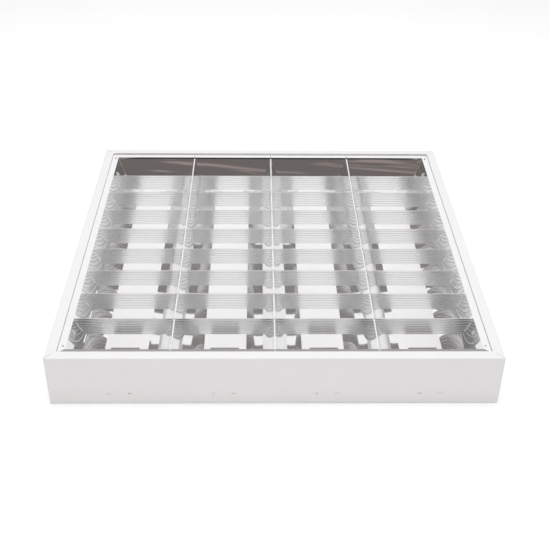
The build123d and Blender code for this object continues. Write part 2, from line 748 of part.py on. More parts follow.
for end, name in ((-1, "gear_terminal_near"), (1, "gear_terminal_far")):
    with BuildPart() as gear_terminal:
        wall_y = gear_centre_y + end * (gear_length / 2 + gear_flange_gap)
        with BuildSketch(Plane.XY.offset(gear_floor_z)):
            with Locations((0, wall_y + end * gear_terminal_depth / 2)):
                Rectangle(gear_terminal_width, gear_terminal_depth)
        extrude(amount=gear_terminal_height)
        front_edge = gear_terminal.edges().filter_by(Axis.X).group_by(Axis.Z)[-1].sort_by(Axis.Y)
        chamfer(front_edge[0] if end < 0 else front_edge[-1], gear_terminal_depth / 3)
    save(gear_terminal.part, name)

# Mains terminal block with its clamp screws, on its own boss
terminal_z = boss_height
pole_xs = [(i - (terminal_poles - 1) / 2) * terminal_pitch for i in range(terminal_poles)]
pole_z = terminal_z + terminal_wire_bore
terminal_top_z = terminal_z + terminal_height
terminal_seat_z = terminal_z + terminal_floor
clamp_ys = [terminal_centre_y - terminal_depth / 4, terminal_centre_y + terminal_depth / 4]
clamp_places = [(x, y) for x in pole_xs for y in clamp_ys]

with BuildPart() as mains_terminal:
    with BuildSketch(Plane.XY.offset(terminal_z)):
        with Locations((0, terminal_centre_y)):
            Rectangle(terminal_width, terminal_depth)
    extrude(amount=terminal_height)
    with BuildSketch(Plane.XZ.offset(-terminal_centre_y)):
        with Locations(*[(x, pole_z) for x in pole_xs]):
            Rectangle(terminal_wire_bore, terminal_wire_bore)
    extrude(amount=terminal_depth / 2, both=True, mode=Mode.SUBTRACT)
    with BuildSketch(Plane.XY.offset(terminal_top_z)):
        with Locations(*clamp_places):
            RegularPolygon(terminal_screw_diameter / 2 + screw_gap, clamp_sides)
    extrude(amount=pole_z - terminal_top_z, mode=Mode.SUBTRACT)
    with BuildSketch(Plane.XY.offset(terminal_top_z)):
        with Locations(terminal_screw_at):
            RegularPolygon(screw_head_diameter / 2 + screw_gap, screw_sides, major_radius=False)
    extrude(amount=terminal_seat_z - terminal_top_z, mode=Mode.SUBTRACT)
    with BuildSketch(Plane.XY.offset(terminal_z)):
        with Locations(terminal_screw_at):
            RegularPolygon(hole_radius, screw_sides, major_radius=False)
    extrude(amount=terminal_height, mode=Mode.SUBTRACT)
save(mains_terminal.part, "mains_terminal")

with BuildPart() as clamp_screws:
    clamp_z = pole_z + supply_wire / 2 + screw_gap
    with BuildSketch(Plane.XY.offset(clamp_z)):
        with Locations(*clamp_places):
            RegularPolygon(terminal_screw_diameter / 2, clamp_sides)
    extrude(amount=terminal_top_z - terminal_screw_sink - clamp_z)
    with BuildSketch(Plane.XY.offset(terminal_top_z - terminal_screw_sink)):
        with Locations(*clamp_places):
            Rectangle(terminal_screw_diameter, driver_slot_width)
    extrude(amount=-driver_slot_depth, mode=Mode.SUBTRACT)
save(clamp_screws.part, "clamp_screws")

# Pan head screws of the gear and the terminal block, driven into the tray's bosses
screw_seats = [(*place, gear_floor_z) for place in gear_screws_at] + [(*terminal_screw_at, terminal_seat_z)]
with BuildPart() as tray_screws:
    for x, y, seat_z in screw_seats:
        with BuildSketch(Plane.XY.offset(seat_z)):
            with Locations((x, y)):
                RegularPolygon(screw_head_diameter / 2, screw_sides)
        extrude(amount=screw_head_height, taper=screw_head_taper)
        with BuildSketch(Plane.XY.offset(seat_z)):
            with Locations((x, y)):
                RegularPolygon(screw_diameter / 2, screw_sides)
        extrude(amount=screw_tip_z - seat_z)
        with BuildSketch(Plane.XY.offset(seat_z + screw_head_height)):
            with Locations((x, y)):
                Rectangle(screw_head_diameter / 2, driver_slot_width)
                Rectangle(driver_slot_width, screw_head_diameter / 2)
        extrude(amount=-driver_slot_depth, mode=Mode.SUBTRACT)
save(tray_screws.part, "tray_screws")

# Earth terminal: ring lug on a boss, held by a screw with a hexagon head
with BuildPart() as earth_lug:
    with BuildSketch(Plane.XY.offset(boss_height)):
        with Locations((earth_x, earth_y)):
            RegularPolygon(earth_ring_diameter / 2, screw_sides)
        with Locations((earth_x, earth_y - earth_lug_length / 2)):
            Rectangle(earth_barrel_width, earth_lug_length)
        with Locations((earth_x, earth_y)):
            RegularPolygon(hole_radius, screw_sides, major_radius=False, mode=Mode.SUBTRACT)
    extrude(amount=earth_lug_sheet)
    barrel_length = earth_lug_length - earth_ring_diameter / 2
    barrel_y = earth_y - earth_lug_length + barrel_length / 2
    with BuildSketch(Plane.XY.offset(boss_height)):
        with Locations((earth_x, barrel_y)):
            Rectangle(earth_barrel_width, barrel_length)
    extrude(amount=supply_wire + earth_lug_sheet)
save(earth_lug.part, "earth_lug")

with BuildPart() as earth_screw:
    earth_seat_z = boss_height + earth_lug_sheet
    with BuildSketch(Plane.XY.offset(earth_seat_z)):
        with Locations((earth_x, earth_y)):
            RegularPolygon(earth_head_width / 2, 6, major_radius=False)
    extrude(amount=earth_head_height)
    with BuildSketch(Plane.XY.offset(earth_seat_z)):
        with Locations((earth_x, earth_y)):
            RegularPolygon(screw_diameter / 2, screw_sides)
    extrude(amount=screw_tip_z - earth_seat_z)
save(earth_screw.part, "earth_screw")

# Rubber grommet in the dished cable entry
with BuildPart() as cable_grommet:
    with BuildSketch(Plane.XZ):
        with BuildLine():
            low = entry_dish_height - grommet_gap
            high = entry_dish_height + tray_sheet + grommet_gap
            bore = grommet_bore / 2
            neck = entry_hole_diameter / 2 - grommet_gap
            lip = grommet_flange_diameter / 2
            crown = lip - grommet_flange / 2
            foot = low - grommet_flange
            top = high + grommet_flange
            back = [(bore, foot), (crown, foot), (lip, low), (neck, low)]
            front = [(neck, high), (lip, high), (crown, top), (bore, top)]
            Polyline(*back, *front, close=True)
        make_face()
    revolve(axis=Axis.Z)
save(cable_grommet.part.moved(Location((0, entry_y, 0))), "cable_grommet")

# Wires: two harnesses from the gear to the lampholders, the supply wires and the earth wire
wire_z = tray_sheet + harness_floor_gap + harness_diameter / 2
terminal_wire_z = gear_floor_z + gear_terminal_height / 2
foot_face_y = holder_face_y - holder_foot_reach
harness_y = foot_face_y - tap_length - harness_diameter / 2
outer_lamp_x = lamp_xs[-1]


def harness(start_x, start_y, run_x, side, end):
    """Route of one harness branch: out of the gear, down to the back plate and along the end wall."""
    return [
        (start_x, start_y, terminal_wire_z),
        (start_x, start_y + end * harness_exit, terminal_wire_z),
        (run_x, start_y + end * (harness_exit + harness_slope), wire_z),
        (run_x, end * harness_y, wire_z),
        (side * outer_lamp_x, end * harness_y, wire_z),
        (side * outer_lamp_x, end * foot_face_y, wire_z),
    ]


harness_starts = {-1: (0, 0, near_exit_y), 1: (-gear_terminal_width / 3, -harness_offset, far_exit_y)}
for end, end_name in ((-1, "near"), (1, "far")):
    centre_x, run_centre_x, start_y = harness_starts[end]
    for side, side_name in ((-1, "left"), (1, "right")):
        with BuildPart() as lamp_wires:
            offset_x = side * harness_spacing / 2
            with BuildLine() as route:
                points = harness(centre_x + offset_x, start_y, run_centre_x + offset_x, side, end)
                FilletPolyline(*points, radius=[harness_bend] * 3 + [harness_end_bend])
            with BuildSketch(Plane(route.line @ 0, z_dir=route.line % 0)):
                RegularPolygon(harness_diameter / 2, wire_sides)
            sweep()
            inner_lamps = [x for x in lamp_xs[1:-1] if x * side > 0]
            tap_plane = Plane(origin=(0, end * foot_face_y, wire_z), x_dir=(end, 0, 0), z_dir=(0, -end, 0))
            with BuildSketch(tap_plane):
                with Locations(*[(end * x, 0) for x in inner_lamps]):
                    RegularPolygon(tap_diameter / 2, wire_sides)
            extrude(amount=tap_length + harness_diameter / 2)
        save(lamp_wires.part, f"lamp_wires_{end_name}_{side_name}")

with BuildPart() as supply_wires:
    for pole_x, start_x in ((pole_xs[0], gear_terminal_width / 8), (pole_xs[1], gear_terminal_width / 3)):
        with BuildLine() as route:
            terminal_face_y = terminal_centre_y - terminal_depth / 2
            gap_y = terminal_face_y - far_exit_y
            FilletPolyline(
                (start_x, far_exit_y, terminal_wire_z),
                (start_x, far_exit_y + gap_y / 4, terminal_wire_z),
                (pole_x, terminal_face_y - gap_y / 4, pole_z),
                (pole_x, terminal_face_y + supply_insertion, pole_z),
                radius=supply_bend,
            )
        with BuildSketch(Plane(route.line @ 0, z_dir=route.line % 0)):
            RegularPolygon(supply_wire / 2, wire_sides)
        sweep()
save(supply_wires.part, "supply_wires")

with BuildPart() as earth_wire:
    with BuildLine() as route:
        terminal_back_y = terminal_centre_y + terminal_depth / 2
        lug_end_y = earth_y - earth_lug_length
        lug_wire_z = boss_height + earth_lug_sheet + supply_wire / 2
        gap_y = lug_end_y - terminal_back_y
        FilletPolyline(
            (pole_xs[2], terminal_back_y - supply_insertion, pole_z),
            (pole_xs[2], terminal_back_y + gap_y / 4, pole_z),
            (earth_x, lug_end_y - gap_y / 4, lug_wire_z),
            (earth_x, lug_end_y, lug_wire_z),
            radius=supply_bend,
        )
    with BuildSketch(Plane(route.line @ 0, z_dir=route.line % 0)):
        RegularPolygon(supply_wire / 2, wire_sides)
    sweep()
save(earth_wire.part, "earth_wire")

# Clips that hold the harnesses to the back plate
with BuildPart() as wire_clips:
    clip_top = wire_z + harness_diameter / 2 + harness_floor_gap
    channel = harness_diameter + 2 * harness_floor_gap
    for end in (-1, 1):
        for x in (v_blade_xs[0], v_blade_xs[-1]):
            with BuildSketch(Plane.YZ.offset(x - clip_length / 2)):
                with Locations((end * harness_y, (tray_sheet + clip_top + clip_sheet) / 2)):
                    Rectangle(channel + 2 * clip_sheet, clip_top + clip_sheet - tray_sheet)
                with Locations((end * harness_y, (tray_sheet + clip_top) / 2)):
                    Rectangle(channel, clip_top - tray_sheet, mode=Mode.SUBTRACT)
                foot_y = end * (harness_y - channel / 2 - clip_sheet - clip_foot / 2)
                with Locations((foot_y, tray_sheet + clip_sheet / 2)):
                    Rectangle(clip_foot, clip_sheet)
            extrude(amount=clip_length)
save(wire_clips.part, "wire_clips")
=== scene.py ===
import json
import math

import bmesh
import bpy
from mathutils import Matrix, Vector


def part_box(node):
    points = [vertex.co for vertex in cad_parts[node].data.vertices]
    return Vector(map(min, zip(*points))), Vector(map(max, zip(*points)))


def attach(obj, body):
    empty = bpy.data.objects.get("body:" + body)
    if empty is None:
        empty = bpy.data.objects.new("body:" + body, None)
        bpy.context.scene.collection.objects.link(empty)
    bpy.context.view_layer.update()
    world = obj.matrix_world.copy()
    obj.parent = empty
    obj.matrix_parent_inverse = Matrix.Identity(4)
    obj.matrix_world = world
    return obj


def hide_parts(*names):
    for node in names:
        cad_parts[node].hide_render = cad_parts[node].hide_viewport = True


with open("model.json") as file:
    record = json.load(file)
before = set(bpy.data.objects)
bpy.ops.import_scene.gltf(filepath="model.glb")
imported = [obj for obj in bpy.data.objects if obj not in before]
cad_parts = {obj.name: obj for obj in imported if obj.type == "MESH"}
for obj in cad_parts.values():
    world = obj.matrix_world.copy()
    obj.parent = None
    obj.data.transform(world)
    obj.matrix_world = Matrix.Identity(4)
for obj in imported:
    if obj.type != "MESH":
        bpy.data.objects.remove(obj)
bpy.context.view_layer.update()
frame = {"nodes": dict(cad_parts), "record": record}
nodes = frame["nodes"]
record = frame["record"]
slot_of = {row["node"]: row["material_slot"] for row in record["subparts"]}
body_with = {node: body for body, members in record["behaviour"]["bodies"].items() for node in members}

MM = 0.001

# Camera of the photograph: place, angles and focal length fitted to the fixture's corners
camera_place = Vector((-0.0229, -1.2550, 0.8592))
camera_pitch = 0.5981
camera_yaw = 0.0214
camera_roll = 0.0130
camera_lens = 59.7

# Colours as they render under plain white light
white_paint = (0.93, 0.92, 0.923)
white_holder = (0.86, 0.86, 0.845)
studio_brown = (0.15, 0.132, 0.126)
studio_streak = (0.30, 0.25, 0.24)

# Studio: lamps in watts, and the floor under the fixture
overhead_power = 39.5
fill_power = 28
floor_reach = 6.0
floor_drop = 0.6 * MM
floor_glow = 0.42

# Louvre: places from the frame, and the bend that its skirts share
right_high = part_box("side_reflector_right")[1]
far_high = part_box("end_reflector_far")[1]
front_z = right_high.z
lip_gap_taken = 0.55 * MM
flange_edge_x = right_high.x + lip_gap_taken
flange_edge_y = far_high.y + lip_gap_taken
flange_width = 9.35 * MM + lip_gap_taken
skirt_x = flange_edge_x - flange_width
skirt_y = flange_edge_y - flange_width
louvre_sheet = 0.5 * MM
flank_radius = 82.6 * MM
flank_lean = math.radians(13.1)
flank_depth = 53.0 * MM
end_flank_depth = 38.0 * MM
nose_half = 1.0 * MM
v_blade_names = ["v_blade_1", "v_blade_2", "v_blade_3"]
v_blade_xs = [(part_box(name)[0].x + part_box(name)[1].x) / 2 for name in v_blade_names]
column_pitch = v_blade_xs[1] - v_blade_xs[0]
lamp_xs = [(i - 1.5) * column_pitch for i in range(4)]
blade_names = [f"cross_blade_{i}" for i in range(1, 9)]
row_ys = [(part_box(name)[0].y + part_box(name)[1].y) / 2 for name in blade_names]
row_pitch = row_ys[1] - row_ys[0]

# Cuts in the louvre's sheets
mitre_gap = 0.15 * MM
tongue_gap = 0.2 * MM
tongue_reach = 3.8 * MM
notch_half = 1.2 * MM
notch_length = 4.4 * MM
wing_cut_start = skirt_y - 60.6 * MM
wing_cut_end = skirt_y - 27.6 * MM
wing_cut_width = 13.5 * MM
slit_half = 1.2 * MM
tab_slot_half = 2.4 * MM
slit_depth = 14.3 * MM
tab_slot_top = 7.7 * MM
tab_slot_bottom = 24.3 * MM
window_near = skirt_y - 51.6 * MM
window_far = skirt_y - 44.6 * MM
hook_slot_end = skirt_y - 38.6 * MM
window_top = 6.0 * MM
window_bottom = 13.6 * MM
hook_slot_top = 10.4 * MM
tab_half = 20.5 * MM
tab_reach = 35.0 * MM
tab_drop = 4.0 * MM
flange_lift = 1.5 * MM
near_flange_lift = 0.7 * MM
flange_rise = 0.13
near_flange_rise = 0.22

# Ribbed cross blades
blade_depth = 28.0 * MM
half_lap = 14.0 * MM
rib_count = 6
rib_pitch = 4.4 * MM
rib_first = 3.6 * MM
rib_height = 0.2 * MM
rib_half_width = 0.55 * MM
hem_width = 1.2 * MM
hem_height = 1.5 * MM
blade_tab_top = 8.0 * MM
blade_tab_bottom = 24.0 * MM
blade_tab_reach = 2.2 * MM
blade_clearance = 0.3 * MM
blade_steps = 140

# Unevenness of the louvre's sheets
v_wave = 0.02 * MM
side_wave = 0.06 * MM
end_wave = 0.03 * MM
blade_wave = 0.02 * MM
sheet_wave_length = 60 * MM


def make_camera():
    """The photograph's viewpoint, built from its three angles."""
    flat = Vector((math.sin(camera_yaw), math.cos(camera_yaw), 0))
    forward = flat * math.cos(camera_pitch) - Vector((0, 0, math.sin(camera_pitch)))
    right = Vector((math.cos(camera_yaw), -math.sin(camera_yaw), 0))
    up = right.cross(forward)
    right_rolled = right * math.cos(camera_roll) + up * math.sin(camera_roll)
    up_rolled = up * math.cos(camera_roll) - right * math.sin(camera_roll)
    turn = Matrix((right_rolled, up_rolled, -forward)).transposed().to_4x4()
    data = bpy.data.cameras.new("photo_camera")
    data.lens = camera_lens
    data.clip_end = 30
    camera = bpy.data.objects.new("photo_camera", data)
    camera.matrix_world = Matrix.Translation(camera_place) @ turn
    bpy.context.scene.collection.objects.link(camera)
    bpy.context.scene.camera = camera


def add(tree, kind, values=None, **settings):
    """A new node with its settings, and values or links for its inputs."""
    node = tree.nodes.new(kind)
    for key, value in settings.items():
        setattr(node, key, value)
    for key, value in (values or {}).items():
        socket = node.inputs[key]
        if isinstance(value, bpy.types.NodeSocket):
            tree.links.new(value, socket)
        else:
            socket.default_value = value
    return node


def put(tree, kind, values=None, **settings):
    """A new node as with add(); gives its first output."""
    return add(tree, kind, values, **settings).outputs[0]


def calc(tree, operation, *values):
    """One sum in a node tree; gives its result."""
    return put(tree, "ShaderNodeMath", dict(enumerate(values)), operation=operation)


def new_group(name, kind, inputs, outputs):
    """An empty node group with its sockets; returns the group, its inlet's sockets and its outlet."""
    group = bpy.data.node_groups.new(name, kind)
    for label, socket_kind, default in inputs:
        socket = group.interface.new_socket(label, in_out="INPUT", socket_type="NodeSocket" + socket_kind)
        if default is not None:
            socket.default_value = default
    for label, socket_kind in outputs:
        group.interface.new_socket(label, in_out="OUTPUT", socket_type="NodeSocket" + socket_kind)
    return group, add(group, "NodeGroupInput").outputs, add(group, "NodeGroupOutput").inputs


def place_group(tree, group, values):
    """A shared group set into a tree with its own values."""
    kind = "ShaderNodeGroup" if group.bl_idname == "ShaderNodeTree" else "GeometryNodeGroup"
    return put(tree, kind, values, node_tree=group)


def end_tree(tree, shape, inlet, outlet):
    """A geometry tree's ending: real geometry with its finish."""
    real = put(tree, "GeometryNodeRealizeInstances", {"Geometry": shape})
    done = put(tree, "GeometryNodeSetMaterial", {"Geometry": real, "Material": inlet["Finish"]})
    tree.links.new(done, outlet["Geometry"])
    return tree


def rolled_grain_group():
    """Fine lines that rolling leaves in sheet metal: noise drawn out along one axis."""
    group, inlet, outlet = new_group(
        "rolled_grain", "ShaderNodeTree",
        [("Vector", "Vector", None), ("Stretch", "Vector", (1.0, 1.0, 1.0)),
         ("Low", "Float", 0.0), ("High", "Float", 1.0)],
        [("Value", "Float")])
    drawn = add(group, "ShaderNodeVectorMath", {0: inlet["Vector"], 1: inlet["Stretch"]}, operation="MULTIPLY")
    lines = add(group, "ShaderNodeTexNoise", {"Vector": drawn.outputs[0], "Scale": 1.0, "Detail": 5.0,
                                              "Roughness": 0.6})
    ranged = add(group, "ShaderNodeMapRange", {"Value": lines.outputs["Fac"], "From Min": 0.3, "From Max": 0.7,
                                               "To Min": inlet["Low"], "To Max": inlet["High"]})
    group.links.new(ranged.outputs[0], outlet["Value"])
    return group


def ripple_group():
    """Slow unevenness of a sheet or a coat of paint, as a height."""
    group, inlet, outlet = new_group(
        "ripple", "ShaderNodeTree",
        [("Vector", "Vector", None), ("Scale", "Float", 40.0),
         ("Fine Scale", "Float", 400.0), ("Fine Share", "Float", 0.1)],
        [("Height", "Float")])
    slow = add(group, "ShaderNodeTexNoise", {"Vector": inlet["Vector"], "Scale": inlet["Scale"], "Detail": 1.0})
    fine = add(group, "ShaderNodeTexNoise", {"Vector": inlet["Vector"], "Scale": inlet["Fine Scale"],
                                             "Detail": 2.0})
    total = calc(group, "MULTIPLY_ADD", fine.outputs["Fac"], inlet["Fine Share"], slow.outputs["Fac"])
    group.links.new(total, outlet["Height"])
    return group


def dust_group():
    """Scattered dull specks and smears: a mask from nothing to one."""
    group, inlet, outlet = new_group(
        "dust", "ShaderNodeTree",
        [("Vector", "Vector", None), ("Scale", "Float", 60.0),
         ("Amount", "Float", 0.3)],
        [("Mask", "Float")])
    cloud = add(group, "ShaderNodeTexNoise", {"Vector": inlet["Vector"], "Scale": inlet["Scale"],
                                              "Detail": 6.0, "Roughness": 0.7})
    ranged = add(group, "ShaderNodeMapRange", {"Value": cloud.outputs["Fac"], "From Min": 0.5, "From Max": 0.75,
                                               "To Min": 0.0, "To Max": inlet["Amount"]})
    group.links.new(ranged.outputs[0], outlet["Mask"])
    return group


def spangle_group():
    """Crystals of a zinc coat: a shade that changes from one flat cell to the next."""
    group, inlet, outlet = new_group(
        "spangle", "ShaderNodeTree",
        [("Vector", "Vector", None), ("Scale", "Float", 200.0)],
        [("Shade", "Float")])
    cells = add(group, "ShaderNodeTexVoronoi", {"Vector": inlet["Vector"], "Scale": inlet["Scale"]})
    shade = add(group, "ShaderNodeSeparateColor", {0: cells.outputs["Color"]})
    group.links.new(shade.outputs[0], outlet["Shade"])
    return group


grain = rolled_grain_group()
ripple = ripple_group()
dust = dust_group()
spangle = spangle_group()


def new_material(name):
    """A material with its Principled shader and the piece's own coordinates."""
    material = bpy.data.materials.new(name)
    material.use_nodes = True
    tree = material.node_tree
    shader = tree.nodes["Principled BSDF"]
    place = add(tree, "ShaderNodeTexCoord").outputs["Object"]
    return material, tree, shader, place


def two_tones(tree, mask, first, second):
    """A colour that goes from one tone to another by a mask."""
    tone = add(tree, "ShaderNodeMix", {"Factor": mask}, data_type="RGBA")
    tone.inputs[6].default_value = (*first, 1)
    tone.inputs[7].default_value = (*second, 1)
    return tone.outputs[2]


def mixed(tree, mask, base, tone):
    """A colour from the tree that goes to one more tone by a mask."""
    step = add(tree, "ShaderNodeMix", {"Factor": mask, 6: base}, data_type="RGBA")
    step.inputs[7].default_value = (*tone, 1)
    return step.outputs[2]


def raise_surface(tree, shader, height, strength, distance):
    """A height turned into slopes of the surface; the distance is in mm."""
    bump = add(tree, "ShaderNodeBump", {"Height": height, "Strength": strength, "Distance": distance * MM})
    tree.links.new(bump.outputs[0], shader.inputs["Normal"])


def painted(name, colour, roughness, peel=0.02, scale=700.0):
    """Powder coat or moulded plastic: faint shade changes, dust and a fine orange peel."""
    material, tree, shader, place = new_material(name)
    specks = place_group(tree, dust, {"Vector": place, "Scale": 25.0, "Amount": 0.25})
    darker = tuple(0.96 * c for c in colour)
    tree.links.new(two_tones(tree, specks, colour, darker), shader.inputs["Base Color"])
    gloss = add(tree, "ShaderNodeMapRange", {"Value": specks, "To Min": roughness, "To Max": roughness + 0.15})
    tree.links.new(gloss.outputs[0], shader.inputs["Roughness"])
    uneven = place_group(tree, ripple, {"Vector": place, "Scale": 60.0, "Fine Scale": scale, "Fine Share": 0.3})
    raise_surface(tree, shader, uneven, 0.5, peel)
    return material


def bright_sheet(name, colour, roughness, spread, stretch, wave, wave_scale, metallic=1.0):
    """Anodised reflector sheet: rolled lines in its gloss and slow waves in its surface."""
    material, tree, shader, place = new_material(name)
    shader.inputs["Metallic"].default_value = metallic
    lines = place_group(tree, grain, {"Vector": place, "Stretch": stretch, "Low": roughness - spread,
                                      "High": roughness + spread})
    tree.links.new(lines, shader.inputs["Roughness"])
    specks = place_group(tree, dust, {"Vector": place, "Scale": 40.0, "Amount": 0.5})
    darker = tuple(0.95 * c for c in colour)
    tree.links.new(two_tones(tree, specks, colour, darker), shader.inputs["Base Color"])
    uneven = place_group(tree, ripple, {"Vector": place, "Scale": wave_scale, "Fine Scale": 300.0,
                                        "Fine Share": 0.02})
    raise_surface(tree, shader, uneven, 1.0, wave)
    return material


def zinc_coat(name, colour, roughness, cell_scale):
    """Galvanised or plated steel with a faint pattern of crystals."""
    material, tree, shader, place = new_material(name)
    shader.inputs["Metallic"].default_value = 1.0
    shade = place_group(tree, spangle, {"Vector": place, "Scale": cell_scale})
    darker = tuple(0.82 * c for c in colour)
    tree.links.new(two_tones(tree, shade, colour, darker), shader.inputs["Base Color"])
    gloss = add(tree, "ShaderNodeMapRange", {"Value": shade, "To Min": roughness, "To Max": roughness + 0.12})
    tree.links.new(gloss.outputs[0], shader.inputs["Roughness"])
    return material


materials = {
    "housing_white": painted("white_powder_coat", white_paint, 0.38),
    "holder_white": painted("lampholder_plastic", white_holder, 0.3, 0.01),
    "rotor_white": painted("rotor_plastic", (0.84, 0.84, 0.82), 0.4, 0.01),
    "gear_white": painted("gear_paint", (0.86, 0.86, 0.85), 0.45),
    "terminal_plastic": painted("terminal_plastic", (0.8, 0.8, 0.77), 0.35, 0.01),
    "grommet_rubber": painted("grommet_rubber", (0.05, 0.05, 0.05), 0.6, 0.02),
    "wire_white": painted("white_insulation", (0.84, 0.84, 0.82), 0.4, 0.01),
    "wire_brown": painted("brown_insulation", (0.2, 0.09, 0.05), 0.4, 0.01),
    "wire_green": painted("green_insulation", (0.2, 0.42, 0.08), 0.4, 0.01),
    "reflector_aluminium": bright_sheet("reflector_sheet", (0.95, 0.95, 0.955), 0.05, 0.01, (900, 12, 900), 0.0, 30),
    "blade_aluminium": bright_sheet("ribbed_sheet", (0.97, 0.97, 0.975), 0.22, 0.008, (3, 1500, 1500), 0.0, 30,
                                    0.85),
    "rivet_aluminium": bright_sheet("rivet_metal", (0.8, 0.8, 0.8), 0.25, 0.05, (300, 300, 300), 0.02, 200),
    "spring_steel": bright_sheet("spring_wire", (0.6, 0.6, 0.6), 0.3, 0.05, (300, 300, 300), 0.02, 200),
    "galvanised_steel": zinc_coat("galvanised_sheet", (0.66, 0.68, 0.69), 0.38, 130),
    "screw_zinc": zinc_coat("zinc_plate", (0.7, 0.7, 0.68), 0.26, 600),
    "tinned_copper": bright_sheet("tinned_copper", (0.7, 0.7, 0.68), 0.3, 0.05, (300, 300, 300), 0.02, 300),
    "contact_bronze": bright_sheet("contact_bronze", (0.72, 0.5, 0.25), 0.3, 0.05, (300, 300, 300), 0.02, 300),
}


louvre_pieces = bpy.data.collections.new("louvre_pieces")


def finish_piece(piece, members, angle):
    """Shade a piece, give it its finish and body, and let it stand for its CAD nodes."""
    if angle:
        piece.data.shade_smooth()
        piece.data.set_sharp_from_angle(angle=math.radians(angle))
    slot = slot_of[members[0]]
    piece.data.materials.clear()
    piece.data.materials.append(materials[slot])
    if body_with[members[0]] == "louvre":
        louvre_pieces.objects.link(piece)
    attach(piece, body_with[members[0]])
    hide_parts(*members)
    return piece


def linked(name, data):
    """A new object in the scene."""
    piece = bpy.data.objects.new(name, data)
    bpy.context.scene.collection.objects.link(piece)
    return piece


def baked(name, source):
    """The evaluated shape of an object as a plain mesh; the source object goes."""
    graph = bpy.context.evaluated_depsgraph_get()
    mesh = bpy.data.meshes.new_from_object(source.evaluated_get(graph), depsgraph=graph)
    bpy.data.objects.remove(source)
    mesh.name = name
    return linked(name, mesh)


def grown(name, data, tree, values):
    """An object run through a geometry tree with its inputs set by name, then made a plain mesh."""
    source = linked(name + "_source", data)
    modifier = source.modifiers.new("shape", "NODES")
    modifier.node_group = tree
    names = {item.name: item.identifier for item in tree.interface.items_tree
             if item.item_type == "SOCKET" and item.in_out == "INPUT"}
    for key, value in values.items():
        modifier[names[key]] = value
    return baked(name, source)


def smooth_copy(name, angle=25, ease=0.0):
    """A merged copy of a CAD node whose curved faces shade as curves, with its edges eased."""
    mesh = nodes[name].data.copy()
    work = bmesh.new()
    work.from_mesh(mesh)
    bmesh.ops.remove_doubles(work, verts=work.verts, dist=1e-6)
    if ease:
        bmesh.ops.dissolve_limit(work, angle_limit=math.radians(1), verts=work.verts, edges=work.edges)
    work.to_mesh(mesh)
    work.free()
    mesh.shade_smooth()
    mesh.set_sharp_from_angle(angle=math.radians(angle))
    source = linked(name + "_copy", mesh)
    if ease:
        bevel = source.modifiers.new("eased", "BEVEL")
        bevel.width = ease
        bevel.segments = 2
        bevel.limit_method = "ANGLE"
        bevel.angle_limit = math.radians(40)
        bevel.use_clamp_overlap = True
    weighted = source.modifiers.new("large_faces_lead", "WEIGHTED_NORMAL")
    weighted.keep_sharp = not ease
    return finish_piece(baked(name + "_shape", source), [name], None)


def flank_group():
    """How far a skirt has spread at a depth: an arc that starts with a lean."""
    group, inlet, outlet = new_group(
        "flank_spread", "GeometryNodeTree",
        [("Depth", "Float", 0.0), ("Radius", "Float", 0.0826), ("Lean", "Float", 0.2)],
        [("Spread", "Float")])
    low = calc(group, "MULTIPLY", inlet["Radius"], calc(group, "SINE", inlet["Lean"]))
    wide = calc(group, "MULTIPLY", inlet["Radius"], calc(group, "COSINE", inlet["Lean"]))
    drop = calc(group, "ADD", inlet["Depth"], low)
    rest = calc(group, "SUBTRACT", calc(group, "POWER", inlet["Radius"], 2.0), calc(group, "POWER", drop, 2.0))
    group.links.new(calc(group, "SUBTRACT", wide, calc(group, "SQRT", rest)), outlet["Spread"])
    return group


def thick_group():
    """Gives an open sheet its thickness on its back side and closes it."""
    group, inlet, outlet = new_group(
        "sheet_thickness", "GeometryNodeTree",
        [("Sheet", "Geometry", None), ("Thickness", "Float", 0.0005)],
        [("Solid", "Geometry")])
    back = put(group, "GeometryNodeFlipFaces", {"Mesh": inlet["Sheet"]})
    pulled = put(group, "GeometryNodeExtrudeMesh", {"Mesh": back, "Offset Scale": inlet["Thickness"],
                                                    "Individual": False})
    both = add(group, "GeometryNodeJoinGeometry")
    group.links.new(pulled, both.inputs[0])
    group.links.new(inlet["Sheet"], both.inputs[0])
    closed = put(group, "GeometryNodeMergeByDistance", {"Geometry": both.outputs[0], "Distance": 1e-6})
    group.links.new(closed, outlet["Solid"])
    return group


flank_spread = flank_group()
sheet_thickness = thick_group()


